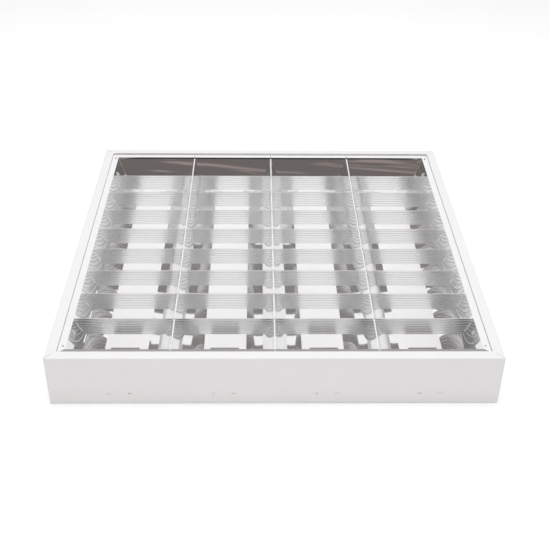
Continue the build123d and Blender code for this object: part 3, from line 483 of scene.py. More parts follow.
def bent_sheet_tree():
    """Bends a flat blank into a flange or nose and curved skirts, and gives it its thickness."""
    tree, inlet, outlet = new_group(
        "bent_sheet", "GeometryNodeTree",
        [("Blank", "Geometry", None), ("Centre", "Vector", None),
         ("Turn", "Float", 0.0), ("Flat Width", "Float", 0.001),
         ("Radius", "Float", 0.08), ("Lean", "Float", 0.2),
         ("Skirt Depth", "Float", 0.05), ("Tab Slope", "Float", 0.0),
         ("Flange Rise", "Float", 0.0), ("Wave Height", "Float", 0.0001),
         ("Wave Length", "Float", 0.05), ("Sheet", "Float", 0.0005),
         ("Finish", "Material", None)],
        [("Geometry", "Geometry")])
    parts = add(tree, "ShaderNodeSeparateXYZ", {0: put(tree, "GeometryNodeInputPosition")}).outputs
    reach = calc(tree, "ABSOLUTE", parts["X"])
    side = calc(tree, "SIGN", parts["X"])
    flat = calc(tree, "MINIMUM", reach, inlet["Flat Width"])
    run = calc(tree, "MAXIMUM", calc(tree, "SUBTRACT", reach, inlet["Flat Width"]), 0.0)
    skirt = calc(tree, "MINIMUM", run, inlet["Skirt Depth"])
    tab = calc(tree, "SUBTRACT", run, skirt)
    spread = place_group(tree, flank_spread, {"Depth": skirt, "Radius": inlet["Radius"], "Lean": inlet["Lean"]})
    across = calc(tree, "MULTIPLY", calc(tree, "ADD", calc(tree, "ADD", flat, spread), tab), side)
    raised = calc(tree, "MULTIPLY", calc(tree, "SUBTRACT", inlet["Flat Width"], flat), inlet["Flange Rise"])
    down = calc(tree, "MULTIPLY_ADD", tab, inlet["Tab Slope"], skirt)
    height = calc(tree, "SUBTRACT", raised, down)
    bent = put(tree, "ShaderNodeCombineXYZ", {"X": across, "Y": parts["Y"], "Z": height})
    turned = put(tree, "ShaderNodeVectorRotate", {"Vector": bent, "Angle": inlet["Turn"]},
                 rotation_type="Z_AXIS")
    placed = put(tree, "ShaderNodeVectorMath", {0: turned, 1: inlet["Centre"]}, operation="ADD")
    shaped = put(tree, "GeometryNodeSetPosition", {"Geometry": inlet["Blank"], "Position": placed})
    here = put(tree, "GeometryNodeInputPosition")
    scale = calc(tree, "DIVIDE", 1.0, inlet["Wave Length"])
    noise = add(tree, "ShaderNodeTexNoise", {"Vector": here, "Scale": scale, "Detail": 1.0}).outputs["Fac"]
    swell = calc(tree, "MULTIPLY", calc(tree, "SUBTRACT", noise, 0.5), calc(tree, "MULTIPLY", inlet["Wave Height"], 4))
    facing = put(tree, "GeometryNodeInputNormal")
    push = put(tree, "ShaderNodeVectorMath", {0: facing, "Scale": swell}, operation="SCALE")
    waved = put(tree, "GeometryNodeSetPosition", {"Geometry": shaped, "Offset": push})
    solid = place_group(tree, sheet_thickness, {"Sheet": waved, "Thickness": inlet["Sheet"]})
    return end_tree(tree, solid, inlet, outlet)


bent_sheet = bent_sheet_tree()


def flank(depth):
    """The same spread as in the trees, for the outlines of the blanks."""
    drop = depth + flank_radius * math.sin(flank_lean)
    return flank_radius * math.cos(flank_lean) - math.sqrt(flank_radius**2 - drop**2)


def flank_inverse(spread):
    """The depth at which a skirt has spread so far."""
    rest = flank_radius * math.cos(flank_lean) - spread
    return math.sqrt(flank_radius**2 - rest**2) - flank_radius * math.sin(flank_lean)


def lines_between(marks, step):
    """The marks in order, with even lines between them about a step apart."""
    lines = []
    marks = sorted(marks)
    for low, high in zip(marks, marks[1:]):
        count = max(1, round((high - low) / step))
        lines += [low + (high - low) * i / count for i in range(count)]
    return lines + [marks[-1]]


def blank(name, across, along, end_of, keep):
    """A flat sheet on a grid of lines: each line across ends at its own length; keep() chooses the cells."""
    work = bmesh.new()
    rows = []
    for p in across:
        limit = end_of(p)
        rows.append([work.verts.new((p, max(-limit, min(limit, t)), 0)) for t in along])
    for i in range(len(across) - 1):
        for j in range(len(along) - 1):
            middle_p = (across[i] + across[i + 1]) / 2
            middle_t = (along[j] + along[j + 1]) / 2
            corners = (rows[i][j], rows[i + 1][j], rows[i + 1][j + 1], rows[i][j + 1])
            wide = max(abs(corners[k].co.y - corners[(k + 1) % 4].co.y) for k in range(4) if k % 2)
            if wide > 1e-7 and keep(middle_p, middle_t):
                work.faces.new(corners)
    bmesh.ops.remove_doubles(work, verts=work.verts, dist=1e-7)
    loose = [vertex for vertex in work.verts if not vertex.link_faces]
    bmesh.ops.delete(work, geom=loose, context="VERTS")
    mesh = bpy.data.meshes.new(name)
    work.to_mesh(mesh)
    work.free()
    return mesh


row_marks = [y + side * slit_half for y in row_ys for side in (-1, 1)]
window_marks = [side * y for y in (window_near, window_far, hook_slot_end) for side in (-1, 1)]


def in_slit(t):
    """Whether a place along a sheet lies in one of the cross blades' slits."""
    return any(abs(t - y) < slit_half for y in row_ys)


def bend(name, mesh, centre, turn, flat_width, depth, tab_slope, rise, wave, node):
    """A blank bent into one of the louvre's sheets."""
    values = {"Centre": centre, "Turn": turn, "Flat Width": flat_width, "Radius": flank_radius,
              "Lean": flank_lean, "Skirt Depth": depth, "Tab Slope": tab_slope, "Flange Rise": rise,
              "Wave Height": wave, "Wave Length": sheet_wave_length, "Sheet": louvre_sheet,
              "Finish": materials[slot_of[node]]}
    return finish_piece(grown(name, mesh, bent_sheet, values), [node], 30)


def make_v_blades():
    """Three V blades: a narrow nose and two mirror flanks, slit for the cross blades."""
    wing_half = nose_half + flank(flank_depth)
    cut_depth = flank_inverse(wing_half - wing_cut_width - nose_half)
    depths = lines_between([0, slit_depth, cut_depth, flank_depth], 2.0 * MM)
    across = [-nose_half - d for d in reversed(depths)] + [nose_half + d for d in depths]
    across[len(depths):len(depths)] = [-0.98 * nose_half, 0.98 * nose_half]
    full = skirt_y + tongue_reach
    along = lines_between([-full, -wing_cut_start, wing_cut_start, full] + row_marks, 10 * MM)

    def end_of(p):
        if abs(p) < nose_half:
            return full
        depth = abs(p) - nose_half
        wing = nose_half + flank(depth)
        slant = (wing_half - wing) / wing_cut_width * (wing_cut_end - wing_cut_start)
        limit = wing_cut_start + slant if wing > wing_half - wing_cut_width else full
        return min(skirt_y - flank(depth) - tongue_gap, limit)

    def keep(p, t):
        return not (abs(p) < nose_half + slit_depth and in_slit(t))

    for name, x in zip(v_blade_names, v_blade_xs):
        mesh = blank(name + "_blank", across, along, end_of, keep)
        bend(name + "_sheet", mesh, (x, 0, front_z), 0.0, nose_half, flank_depth, 0.0, 0.0, v_wave, name)


def make_side_reflectors():
    """Side skirts with their flanges, slots for the blades' tabs and windows for the springs."""
    skirt_end = skirt_x - flank(flank_depth)
    cut_x = skirt_end + wing_cut_width
    marks = [0, window_top, tab_slot_top, hook_slot_top, window_bottom, tab_slot_bottom,
             flank_inverse(skirt_x - cut_x), flank_depth]
    across = [0] + [flange_width + d for d in lines_between(marks, 2.0 * MM)]
    full = flange_edge_x
    slot_marks = [y + way * tab_slot_half for y in row_ys for way in (-1, 1)]
    along = lines_between([-full, full] + slot_marks + window_marks, 10 * MM)

    def end_of(p):
        depth = max(p - flange_width, 0)
        x = skirt_x - flank(depth) if p >= flange_width else flange_edge_x - p
        if x > cut_x:
            return x + skirt_y - skirt_x - mitre_gap
        return wing_cut_start + (x - skirt_end) / wing_cut_width * (wing_cut_end - wing_cut_start)

    def keep(p, t):
        depth = p - flange_width
        if any(abs(t - y) < tab_slot_half for y in row_ys) and tab_slot_top < depth < tab_slot_bottom:
            return False
        if window_near < abs(t) < window_far and window_top < depth < window_bottom:
            return False
        return not (window_far < abs(t) < hook_slot_end and hook_slot_top < depth < window_bottom)

    for side, name in ((-1, "side_reflector_left"), (1, "side_reflector_right")):
        mesh = blank(name + "_blank", across, along, end_of, keep)
        turn = math.pi if side > 0 else 0.0
        bend(name + "_sheet", mesh, (side * flange_edge_x, 0, front_z + flange_lift), turn, flange_width, flank_depth,
             0.0, flange_rise, side_wave, name)


def make_end_reflectors():
    """End skirts, shorter, with a tab over the end of each lamp."""
    marks = lines_between([0, end_flank_depth], 2.0 * MM)
    tab_lines = [end_flank_depth + tab_reach * i / 6 for i in range(1, 7)]
    across = [0, flange_width - notch_length] + [flange_width + d for d in marks + tab_lines]
    full = flange_edge_x
    tab_marks = [x + side * tab_half for x in lamp_xs for side in (-1, 1)]
    notch_marks = [x + side * notch_half for x in v_blade_xs for side in (-1, 1)]
    along = lines_between([-full, full] + tab_marks + notch_marks, 10 * MM)

    def end_of(p):
        y = flange_edge_y - p if p <= flange_width else skirt_y - flank(min(p - flange_width, end_flank_depth))
        return y + skirt_x - skirt_y - mitre_gap

    def keep(p, t):
        if p > flange_width + end_flank_depth and not any(abs(t - x) < tab_half for x in lamp_xs):
            return False
        return not (flange_width - notch_length < p < flange_width and any(abs(t - x) < notch_half
                                                                           for x in v_blade_xs))

    for end, name in ((-1, "end_reflector_near"), (1, "end_reflector_far")):
        mesh = blank(name + "_blank", across, along, end_of, keep)
        lift, rise = (near_flange_lift, near_flange_rise) if end < 0 else (flange_lift, flange_rise)
        bend(name + "_sheet", mesh, (0, end * flange_edge_y, front_z + lift), -end * math.pi / 2, flange_width,
             end_flank_depth, tab_drop / tab_reach, rise, end_wave, name)


def ribbed_blades_tree():
    """Rows of cross blades: ribbed strips with curved ends, tabs, notches over the V blades and a hem."""
    tree, inlet, outlet = new_group(
        "ribbed_blades", "GeometryNodeTree",
        [("Start", "Geometry", None), ("Rows", "Int", 8), ("Row Pitch", "Float", 0.06),
         ("First Row", "Vector", None), ("Column Pitch", "Float", 0.14),
         ("Nose Half", "Float", 0.001), ("Clearance", "Float", 0.0003),
         ("Depth", "Float", 0.028), ("Half Lap", "Float", 0.014),
         ("Steps", "Int", 140), ("Rib Count", "Int", 6), ("Rib Pitch", "Float", 0.0044),
         ("Rib First", "Float", 0.0036), ("Rib Height", "Float", 0.0007),
         ("Rib Half Width", "Float", 0.0008), ("Tab Top", "Float", 0.008),
         ("Tab Bottom", "Float", 0.024), ("Tab Reach", "Float", 0.0022),
         ("Hem Width", "Float", 0.0012), ("Hem Height", "Float", 0.0015),
         ("Radius", "Float", 0.08), ("Lean", "Float", 0.2),
         ("Wave Height", "Float", 0.0001), ("Sheet", "Float", 0.0005),
         ("Finish", "Material", None)],
        [("Geometry", "Geometry")])
    lines_x = 10
    grid = put(tree, "GeometryNodeMeshGrid", {"Size X": lines_x - 1.0, "Size Y": 1.0, "Vertices X": lines_x,
                                              "Vertices Y": calc(tree, "ADD", inlet["Steps"], 1.0)})
    spot = add(tree, "ShaderNodeSeparateXYZ", {0: put(tree, "GeometryNodeInputPosition")}).outputs
    number = calc(tree, "ABSOLUTE", spot["X"])
    side = calc(tree, "SIGN", spot["X"])
    depth = calc(tree, "MULTIPLY", calc(tree, "SUBTRACT", 0.5, spot["Y"]), inlet["Depth"])
    # Cells that go: the notches below the half lap, and the edges above and below the tabs
    even = calc(tree, "COMPARE", calc(tree, "MODULO", calc(tree, "ADD", number, 0.2), 2.0), 0.2, 0.3)
    inner = calc(tree, "LESS_THAN", number, 3.0)
    deep = calc(tree, "GREATER_THAN", depth, inlet["Half Lap"])
    notch = calc(tree, "MULTIPLY", calc(tree, "MULTIPLY", even, inner), deep)
    outer = calc(tree, "GREATER_THAN", number, 3.5)
    above = calc(tree, "LESS_THAN", depth, inlet["Tab Top"])
    below = calc(tree, "GREATER_THAN", depth, inlet["Tab Bottom"])
    bare = calc(tree, "MULTIPLY", outer, calc(tree, "ADD", above, below))
    gone = calc(tree, "GREATER_THAN", calc(tree, "ADD", notch, bare), 0.5)
    cut = put(tree, "GeometryNodeDeleteGeometry", {"Geometry": grid, "Selection": gone}, domain="FACE")
    # Each line across stands at a V blade's flank or at a side skirt
    step = calc(tree, "SUBTRACT", number, 0.5)
    base = calc(tree, "MULTIPLY", calc(tree, "FLOOR", calc(tree, "MULTIPLY", calc(tree, "ADD", step, 1.1), 0.5)),
                inlet["Column Pitch"])
    at_skirt = calc(tree, "GREATER_THAN", step, 2.5)
    at_tab = calc(tree, "GREATER_THAN", step, 3.5)
    odd = calc(tree, "COMPARE", calc(tree, "MODULO", calc(tree, "ADD", step, 0.2), 2.0), 1.2, 0.3)
    inward = calc(tree, "MAXIMUM", odd, at_skirt)
    way = calc(tree, "MULTIPLY_ADD", inward, -2.0, 1.0)
    not_skirt = calc(tree, "SUBTRACT", 1.0, at_skirt)
    gap = calc(tree, "MULTIPLY_ADD", inlet["Nose Half"], not_skirt, inlet["Clearance"])
    room = calc(tree, "ADD", inlet["Clearance"], inlet["Tab Reach"])
    gap = calc(tree, "SUBTRACT", gap, calc(tree, "MULTIPLY", at_tab, room))
    lowest = calc(tree, "MAXIMUM", depth, calc(tree, "MULTIPLY", inlet["Half Lap"], not_skirt))
    spread = place_group(tree, flank_spread, {"Depth": lowest, "Radius": inlet["Radius"], "Lean": inlet["Lean"]})
    off = calc(tree, "MULTIPLY", calc(tree, "ADD", gap, spread), way)
    x = calc(tree, "MULTIPLY", calc(tree, "ADD", base, off), side)
    # Ribs: round swells at their pitch
    turn = calc(tree, "DIVIDE", calc(tree, "SUBTRACT", depth, inlet["Rib First"]), inlet["Rib Pitch"])
    last = calc(tree, "SUBTRACT", inlet["Rib Count"], 1.0)
    nearest = calc(tree, "MINIMUM", calc(tree, "MAXIMUM", calc(tree, "ROUND", turn), 0.0), last)
    away = calc(tree, "MULTIPLY", calc(tree, "ABSOLUTE", calc(tree, "SUBTRACT", turn, nearest)), inlet["Rib Pitch"])
    share = calc(tree, "MINIMUM", calc(tree, "DIVIDE", away, inlet["Rib Half Width"]), 1.0)
    wave = calc(tree, "COSINE", calc(tree, "MULTIPLY", share, math.pi))
    swell = calc(tree, "MULTIPLY", calc(tree, "MULTIPLY_ADD", wave, 0.5, 0.5), inlet["Rib Height"])
    face = calc(tree, "MULTIPLY", calc(tree, "ADD", inlet["Sheet"], inlet["Rib Height"]), -0.5)
    y = calc(tree, "ADD", swell, face)
    placed = put(tree, "ShaderNodeCombineXYZ", {"X": x, "Y": y, "Z": calc(tree, "MULTIPLY", depth, -1.0)})
    shaped = put(tree, "GeometryNodeSetPosition", {"Geometry": cut, "Position": placed})
    solid = place_group(tree, sheet_thickness, {"Sheet": shaped, "Thickness": inlet["Sheet"]})
    # Hem folded over along the top edge
    half = calc(tree, "SUBTRACT", calc(tree, "MULTIPLY", inlet["Column Pitch"], 2.0), inlet["Clearance"])
    hem_y = calc(tree, "MULTIPLY_ADD", inlet["Hem Width"], 0.5, face)
    hem_z = calc(tree, "MULTIPLY", inlet["Hem Height"], -0.5)
    start = add(tree, "ShaderNodeCombineXYZ", {"X": calc(tree, "MULTIPLY", half, -1.0), "Y": hem_y, "Z": hem_z})
    stop = add(tree, "ShaderNodeCombineXYZ", {"X": half, "Y": hem_y, "Z": hem_z})
    edge = put(tree, "GeometryNodeCurvePrimitiveLine", {"Start": start.outputs[0], "End": stop.outputs[0]})
    fold = put(tree, "GeometryNodeCurvePrimitiveQuadrilateral",
               {"Width": calc(tree, "ADD", inlet["Hem Width"], 6e-5), "Height": inlet["Hem Height"]})
    fold = add(tree, "GeometryNodeFilletCurve", {"Curve": fold, "Radius": calc(tree, "MULTIPLY", inlet["Hem Width"],
                                                                              0.4), "Count": 4}, mode="POLY")
    hem = put(tree, "GeometryNodeCurveToMesh", {"Curve": edge, "Profile Curve": fold.outputs[0],
                                                "Fill Caps": True})
    blade = add(tree, "GeometryNodeJoinGeometry")
    tree.links.new(solid, blade.inputs[0])
    tree.links.new(hem, blade.inputs[0])
    steps = put(tree, "ShaderNodeCombineXYZ", {"Y": inlet["Row Pitch"]})
    rows = put(tree, "GeometryNodeMeshLine", {"Count": inlet["Rows"], "Start Location": inlet["First Row"],
                                              "Offset": steps})
    spread_out = put(tree, "GeometryNodeInstanceOnPoints", {"Points": rows, "Instance": blade.outputs[0]})
    real = put(tree, "GeometryNodeRealizeInstances", {"Geometry": spread_out})
    here = put(tree, "GeometryNodeInputPosition")
    noise = add(tree, "ShaderNodeTexNoise", {"Vector": here, "Scale": 14.0, "Detail": 1.0}).outputs["Fac"]
    bow = calc(tree, "MULTIPLY", calc(tree, "SUBTRACT", noise, 0.5), calc(tree, "MULTIPLY", inlet["Wave Height"], 4.0))
    bowed = put(tree, "GeometryNodeSetPosition",
                {"Geometry": real, "Offset": put(tree, "ShaderNodeCombineXYZ", {"Y": bow})})
    return end_tree(tree, bowed, inlet, outlet)


def make_cross_blades():
    """The eight ribbed cross blades, one mesh on the louvre."""
    values = {"Rows": len(blade_names), "Row Pitch": row_pitch, "First Row": (0.0, row_ys[0], front_z),
              "Column Pitch": column_pitch, "Nose Half": nose_half, "Clearance": blade_clearance,
              "Depth": blade_depth, "Half Lap": half_lap, "Steps": blade_steps, "Rib Count": rib_count,
              "Rib Pitch": rib_pitch, "Rib First": rib_first, "Rib Height": rib_height,
              "Rib Half Width": rib_half_width, "Tab Top": blade_tab_top, "Tab Bottom": blade_tab_bottom,
              "Tab Reach": blade_tab_reach, "Hem Width": hem_width, "Hem Height": hem_height,
              "Radius": flank_radius, "Lean": flank_lean, "Wave Height": blade_wave, "Sheet": louvre_sheet,
              "Finish": materials["blade_aluminium"]}
    start = bpy.data.meshes.new("blade_start")
    finish_piece(grown("cross_blades", start, ribbed_blades_tree(), values), blade_names, 35)


def round_wire_tree():
    """A round wire along each route, with its corners bent to a radius."""
    tree, inlet, outlet = new_group(
        "round_wire", "GeometryNodeTree",
        [("Routes", "Geometry", None), ("Bend Radius", "Float", 0.003),
         ("Bend Steps", "Int", 6), ("Wire Radius", "Float", 0.001),
         ("Sides", "Int", 16), ("Finish", "Material", None)],
        [("Geometry", "Geometry")])
    lines = put(tree, "GeometryNodeMeshToCurve", {"Mesh": inlet["Routes"]})
    bent = add(tree, "GeometryNodeFilletCurve", {"Curve": lines, "Radius": inlet["Bend Radius"],
                                                 "Count": inlet["Bend Steps"], "Limit Radius": True}, mode="POLY")
    ring = put(tree, "GeometryNodeCurvePrimitiveCircle", {"Resolution": inlet["Sides"],
                                                          "Radius": inlet["Wire Radius"]})
    tube = put(tree, "GeometryNodeCurveToMesh", {"Curve": bent.outputs[0], "Profile Curve": ring,
                                                 "Fill Caps": True})
    return end_tree(tree, tube, inlet, outlet)


def fastener_tree():
    """Screws or rivets on points: a domed head with a slot or cross in it, and a shank."""
    tree, inlet, outlet = new_group(
        "fasteners", "GeometryNodeTree",
        [("Places", "Geometry", None), ("Head Sides", "Int", 32),
         ("Seat Radius", "Float", 0.003), ("Crown Radius", "Float", 0.002),
         ("Head Height", "Float", 0.002), ("Slot Length", "Float", 0.003),
         ("Slot Width", "Float", 0.0009), ("Cross Length", "Float", 0.003),
         ("Slot Depth", "Float", 0.001), ("Shank Radius", "Float", 0.0016),
         ("Shank Length", "Float", 0.003), ("Finish", "Material", None)],
        [("Geometry", "Geometry")])
    cone = put(tree, "GeometryNodeMeshCone", {"Vertices": inlet["Head Sides"], "Side Segments": 6,
                                              "Radius Top": inlet["Crown Radius"],
                                              "Radius Bottom": inlet["Seat Radius"],
                                              "Depth": inlet["Head Height"]})
    place = put(tree, "GeometryNodeInputPosition")
    parts = add(tree, "ShaderNodeSeparateXYZ", {0: place}).outputs
    share = calc(tree, "MINIMUM", calc(tree, "DIVIDE", parts["Z"], inlet["Head Height"]), 1.0)
    narrowing = calc(tree, "SUBTRACT", inlet["Seat Radius"], inlet["Crown Radius"])
    straight = calc(tree, "SUBTRACT", inlet["Seat Radius"], calc(tree, "MULTIPLY", narrowing, share))
    arch = calc(tree, "SQRT", calc(tree, "SUBTRACT", 1.0, calc(tree, "MULTIPLY", share, share)))
    round_edge = calc(tree, "MULTIPLY_ADD", narrowing, arch, inlet["Crown Radius"])
    swell = calc(tree, "DIVIDE", round_edge, straight)
    domed_place = put(tree, "ShaderNodeCombineXYZ", {"X": calc(tree, "MULTIPLY", parts["X"], swell),
                                                     "Y": calc(tree, "MULTIPLY", parts["Y"], swell),
                                                     "Z": parts["Z"]})
    head = put(tree, "GeometryNodeSetPosition", {"Geometry": cone, "Position": domed_place})
    cut_height = calc(tree, "MULTIPLY", inlet["Slot Depth"], 2.0)
    top = put(tree, "ShaderNodeCombineXYZ", {"Z": inlet["Head Height"]})
    cut = add(tree, "GeometryNodeMeshBoolean", {"Mesh 1": head}, operation="DIFFERENCE", solver="EXACT")
    for width, length in (("Slot Length", "Slot Width"), ("Slot Width", "Cross Length")):
        sizes = put(tree, "ShaderNodeCombineXYZ", {"X": inlet[width], "Y": inlet[length], "Z": cut_height})
        block = put(tree, "GeometryNodeMeshCube", {"Size": sizes})
        moved = put(tree, "GeometryNodeTransform", {"Geometry": block, "Translation": top})
        tree.links.new(moved, cut.inputs["Mesh 2"])
    shank = put(tree, "GeometryNodeMeshCylinder", {"Vertices": 20, "Radius": inlet["Shank Radius"],
                                                   "Depth": inlet["Shank Length"]})
    drop = put(tree, "ShaderNodeCombineXYZ", {"Z": calc(tree, "MULTIPLY", inlet["Shank Length"], -0.5)})
    lowered = put(tree, "GeometryNodeTransform", {"Geometry": shank, "Translation": drop})
    whole = add(tree, "GeometryNodeJoinGeometry")
    tree.links.new(lowered, whole.inputs[0])
    tree.links.new(cut.outputs[0], whole.inputs[0])
    points = put(tree, "GeometryNodeMeshToPoints", {"Mesh": inlet["Places"]})
    spread_out = put(tree, "GeometryNodeInstanceOnPoints", {"Points": points, "Instance": whole.outputs[0]})
    return end_tree(tree, spread_out, inlet, outlet)


round_wire = round_wire_tree()
fasteners = fastener_tree()


def islands(name):
    """The lowest and highest corner of each loose part of a CAD node."""
    work = bmesh.new()
    work.from_mesh(nodes[name].data)
    bmesh.ops.remove_doubles(work, verts=work.verts, dist=1e-6)
    waiting = set(work.verts)
    found = []
    while waiting:
        queue = [waiting.pop()]
        part = list(queue)
        while queue:
            vertex = queue.pop()
            for edge in vertex.link_edges:
                other = edge.other_vert(vertex)
                if other in waiting:
                    waiting.remove(other)
                    queue.append(other)
                    part.append(other)
        places = [vertex.co for vertex in part]
        low = Vector([min(place[i] for place in places) for i in range(3)])
        high = Vector([max(place[i] for place in places) for i in range(3)])
        found.append((low, high))
    work.free()
    return sorted(found, key=lambda corners: tuple(corners[0]))


def line_mesh(name, routes):
    """Routes as chains of edges, or single places as loose points."""
    points, edges = [], []
    for route in routes:
        edges += [(len(points) + i, len(points) + i + 1) for i in range(len(route) - 1)]
        points += route
    mesh = bpy.data.meshes.new(name)
    mesh.from_pydata(points, edges, [])
    return mesh


def run_wire(node, routes, thickness, bend_radius):
    """Routes grown into the round wire that stands for a node."""
    values = {"Bend Radius": bend_radius, "Bend Steps": 8, "Wire Radius": thickness / 2, "Sides": 16,
              "Finish": materials[slot_of[node]]}
    finish_piece(grown(node + "_wire", line_mesh(node + "_route", routes), round_wire, values), [node], 40)


def set_fasteners(node, places, values):
    """Screws or rivets at places, standing for a node."""
    values = {**values, "Finish": materials[slot_of[node]]}
    mesh = line_mesh(node + "_places", [[place] for place in places])
    finish_piece(grown(node + "_heads", mesh, fasteners, values), [node], 35)


# Wires, springs and fasteners: their thickness and what their boxes don't tell
spring_wire = 1.5 * MM
spring_foot = 18.0 * MM
spring_bend = 2.0 * MM
harness_diameter = 3.6 * MM
harness_spacing = 5.4 * MM
harness_exit = 12.0 * MM
harness_slope = 20.0 * MM
harness_bend = 8.0 * MM
tap_length = 1.0 * MM
far_harness_start_x = -10.0 * MM
far_harness_run_x = -28.0 * MM
supply_wire = 2.2 * MM
supply_bend = 3.0 * MM
supply_insertion = 3.0 * MM
supply_starts = (3.75 * MM, 10.0 * MM)
pole_pitch = 10.0 * MM
screw_head_height = 2.0 * MM
rivet_head_height = 0.8 * MM
rivet_inset = 5.5 * MM


def make_springs():
    """Four wire springs: a foot along the back plate, a leg and a hook."""
    half = spring_wire / 2
    for side_name, side in (("left", -1), ("right", 1)):
        for end_name, end in (("near", -1), ("far", 1)):
            node = f"louvre_spring_{side_name}_{end_name}"
            low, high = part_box(node)
            leg_x = side * (max(abs(low.x), abs(high.x)) - half)
            hook_x = side * (min(abs(low.x), abs(high.x)) + half)
            foot_y, stub_y = (low.y, high.y) if end > 0 else (high.y, low.y)
            turn_y = foot_y + end * spring_foot
            foot_z, hook_z = low.z + half, high.z - half
            route = [(leg_x, foot_y, foot_z), (leg_x, turn_y, foot_z), (leg_x, turn_y, hook_z),
                     (hook_x, turn_y, hook_z), (hook_x, stub_y, hook_z)]
            run_wire(node, [route], spring_wire, spring_bend)


def make_wires():
    """Harnesses from the gear to the lampholders, the supply wires and the earth wire."""
    half = harness_diameter / 2
    for end_name, end in (("near", -1), ("far", 1)):
        for side_name, side in (("left", -1), ("right", 1)):
            node = f"lamp_wires_{end_name}_{side_name}"
            low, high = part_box(node)
            floor_z, gear_z = low.z + half, high.z - half
            start_y, holder_y = (low.y, high.y) if end > 0 else (high.y, low.y)
            run_y = holder_y - end * (tap_length + half)
            offset = side * harness_spacing / 2
            start_x, run_x = (far_harness_start_x, far_harness_run_x) if end > 0 else (0.0, 0.0)
            last_x = side * lamp_xs[-1]
            main = [(start_x + offset, start_y, gear_z), (start_x + offset, start_y + end * harness_exit, gear_z),
                    (run_x + offset, start_y + end * (harness_exit + harness_slope), floor_z),
                    (run_x + offset, run_y, floor_z), (last_x, run_y, floor_z), (last_x, holder_y, floor_z)]
            tap = [(last_x / 3, run_y, floor_z), (last_x / 3, holder_y, floor_z)]
            run_wire(node, [main, tap], harness_diameter, harness_bend)
    half = supply_wire / 2
    low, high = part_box("supply_wires")
    face_y = high.y - supply_insertion
    quarter = (face_y - low.y) / 4
    routes = [[(start_x, low.y, high.z - half), (start_x, low.y + quarter, high.z - half),
               (pole_x, face_y - quarter, low.z + half), (pole_x, high.y, low.z + half)]
              for start_x, pole_x in zip(supply_starts, (-pole_pitch, 0.0))]
    run_wire("supply_wires", routes, supply_wire, supply_bend)
    low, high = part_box("earth_wire")
    back_y = low.y + supply_insertion
    quarter = (high.y - back_y) / 4
    route = [(pole_pitch, low.y, high.z - half), (pole_pitch, back_y + quarter, high.z - half),
             (high.x - half, high.y - quarter, low.z + half), (high.x - half, high.y, low.z + half)]
    run_wire("earth_wire", [route], supply_wire, supply_bend)


def make_fasteners():
    """Pan head screws, clamp screws, the earth screw and the louvre's rivets."""
    def middle(corners, z):
        return ((corners[0].x + corners[1].x) / 2, (corners[0].y + corners[1].y) / 2, z)

    screws = islands("tray_screws")
    lowest_seat = min(high.z for low, high in screws) - screw_head_height
    set_fasteners("tray_screws", [middle(part, part[1].z - screw_head_height) for part in screws],
                  {"Seat Radius": 3.0 * MM, "Crown Radius": 1.9 * MM, "Head Height": screw_head_height,
                   "Shank Length": lowest_seat - screws[0][0].z})
    clamps = islands("clamp_screws")
    low, high = clamps[0]
    set_fasteners("clamp_screws", [middle(part, low.z) for part in clamps],
                  {"Seat Radius": 1.8 * MM, "Crown Radius": 1.7 * MM, "Head Height": high.z - low.z,
                   "Slot Length": 4.0 * MM, "Cross Length": 0.9 * MM, "Shank Radius": 1.0 * MM,
                   "Shank Length": 0.05 * MM})
    low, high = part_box("earth_screw")
    head_height = 2.8 * MM
    set_fasteners("earth_screw", [middle((low, high), high.z - head_height)],
                  {"Head Sides": 6, "Seat Radius": (high.x - low.x) / 2, "Crown Radius": 0.46 * (high.x - low.x),
                   "Head Height": head_height, "Slot Length": 4.2 * MM, "Cross Length": 4.2 * MM,
                   "Shank Length": high.z - head_height - low.z})
    rivets = islands("louvre_rivets")
    inset = rivet_inset + lip_gap_taken
    places = []
    for low, high in rivets:
        lift, rise = (near_flange_lift, near_flange_rise) if high.y < 0 else (flange_lift, flange_rise)
        places.append(middle((low, high), high.z - rivet_head_height + lift + rise * (flange_width - inset)))
    set_fasteners("louvre_rivets", places,
                  {"Seat Radius": 2.2 * MM, "Crown Radius": 1.1 * MM, "Head Height": rivet_head_height,
                   "Slot Length": 1.2 * MM, "Slot Width": 1.2 * MM, "Cross Length": 1.2 * MM,
                   "Slot Depth": 0.5 * MM, "Shank Radius": 1.2 * MM, "Shank Length": 2.5 * MM})


make_camera()
make_v_blades()
make_side_reflectors()
make_end_reflectors()
make_cross_blades()
make_springs()
make_wires()
make_fasteners()
grown_nodes = set(v_blade_names + blade_names + ["tray_screws", "clamp_screws", "earth_screw", "louvre_rivets"])
grown_starts = ("side_reflector", "end_reflector", "louvre_spring", "lamp_wires", "supply_wires", "earth_wire")
eased_starts = {"lampholder": 0.5 * MM, "lamp_rotor": 0.3 * MM, "gear_cover": 0.3 * MM, "gear_terminal": 0.4 * MM,
                "mains_terminal": 0.3 * MM, "earth_lug": 0.15 * MM}
for node in list(nodes):
    if node not in grown_nodes and not node.startswith(grown_starts):
        ease = next((size for start, size in eased_starts.items() if node.startswith(start)), 0.0)
        smooth_copy(node, 25, ease)


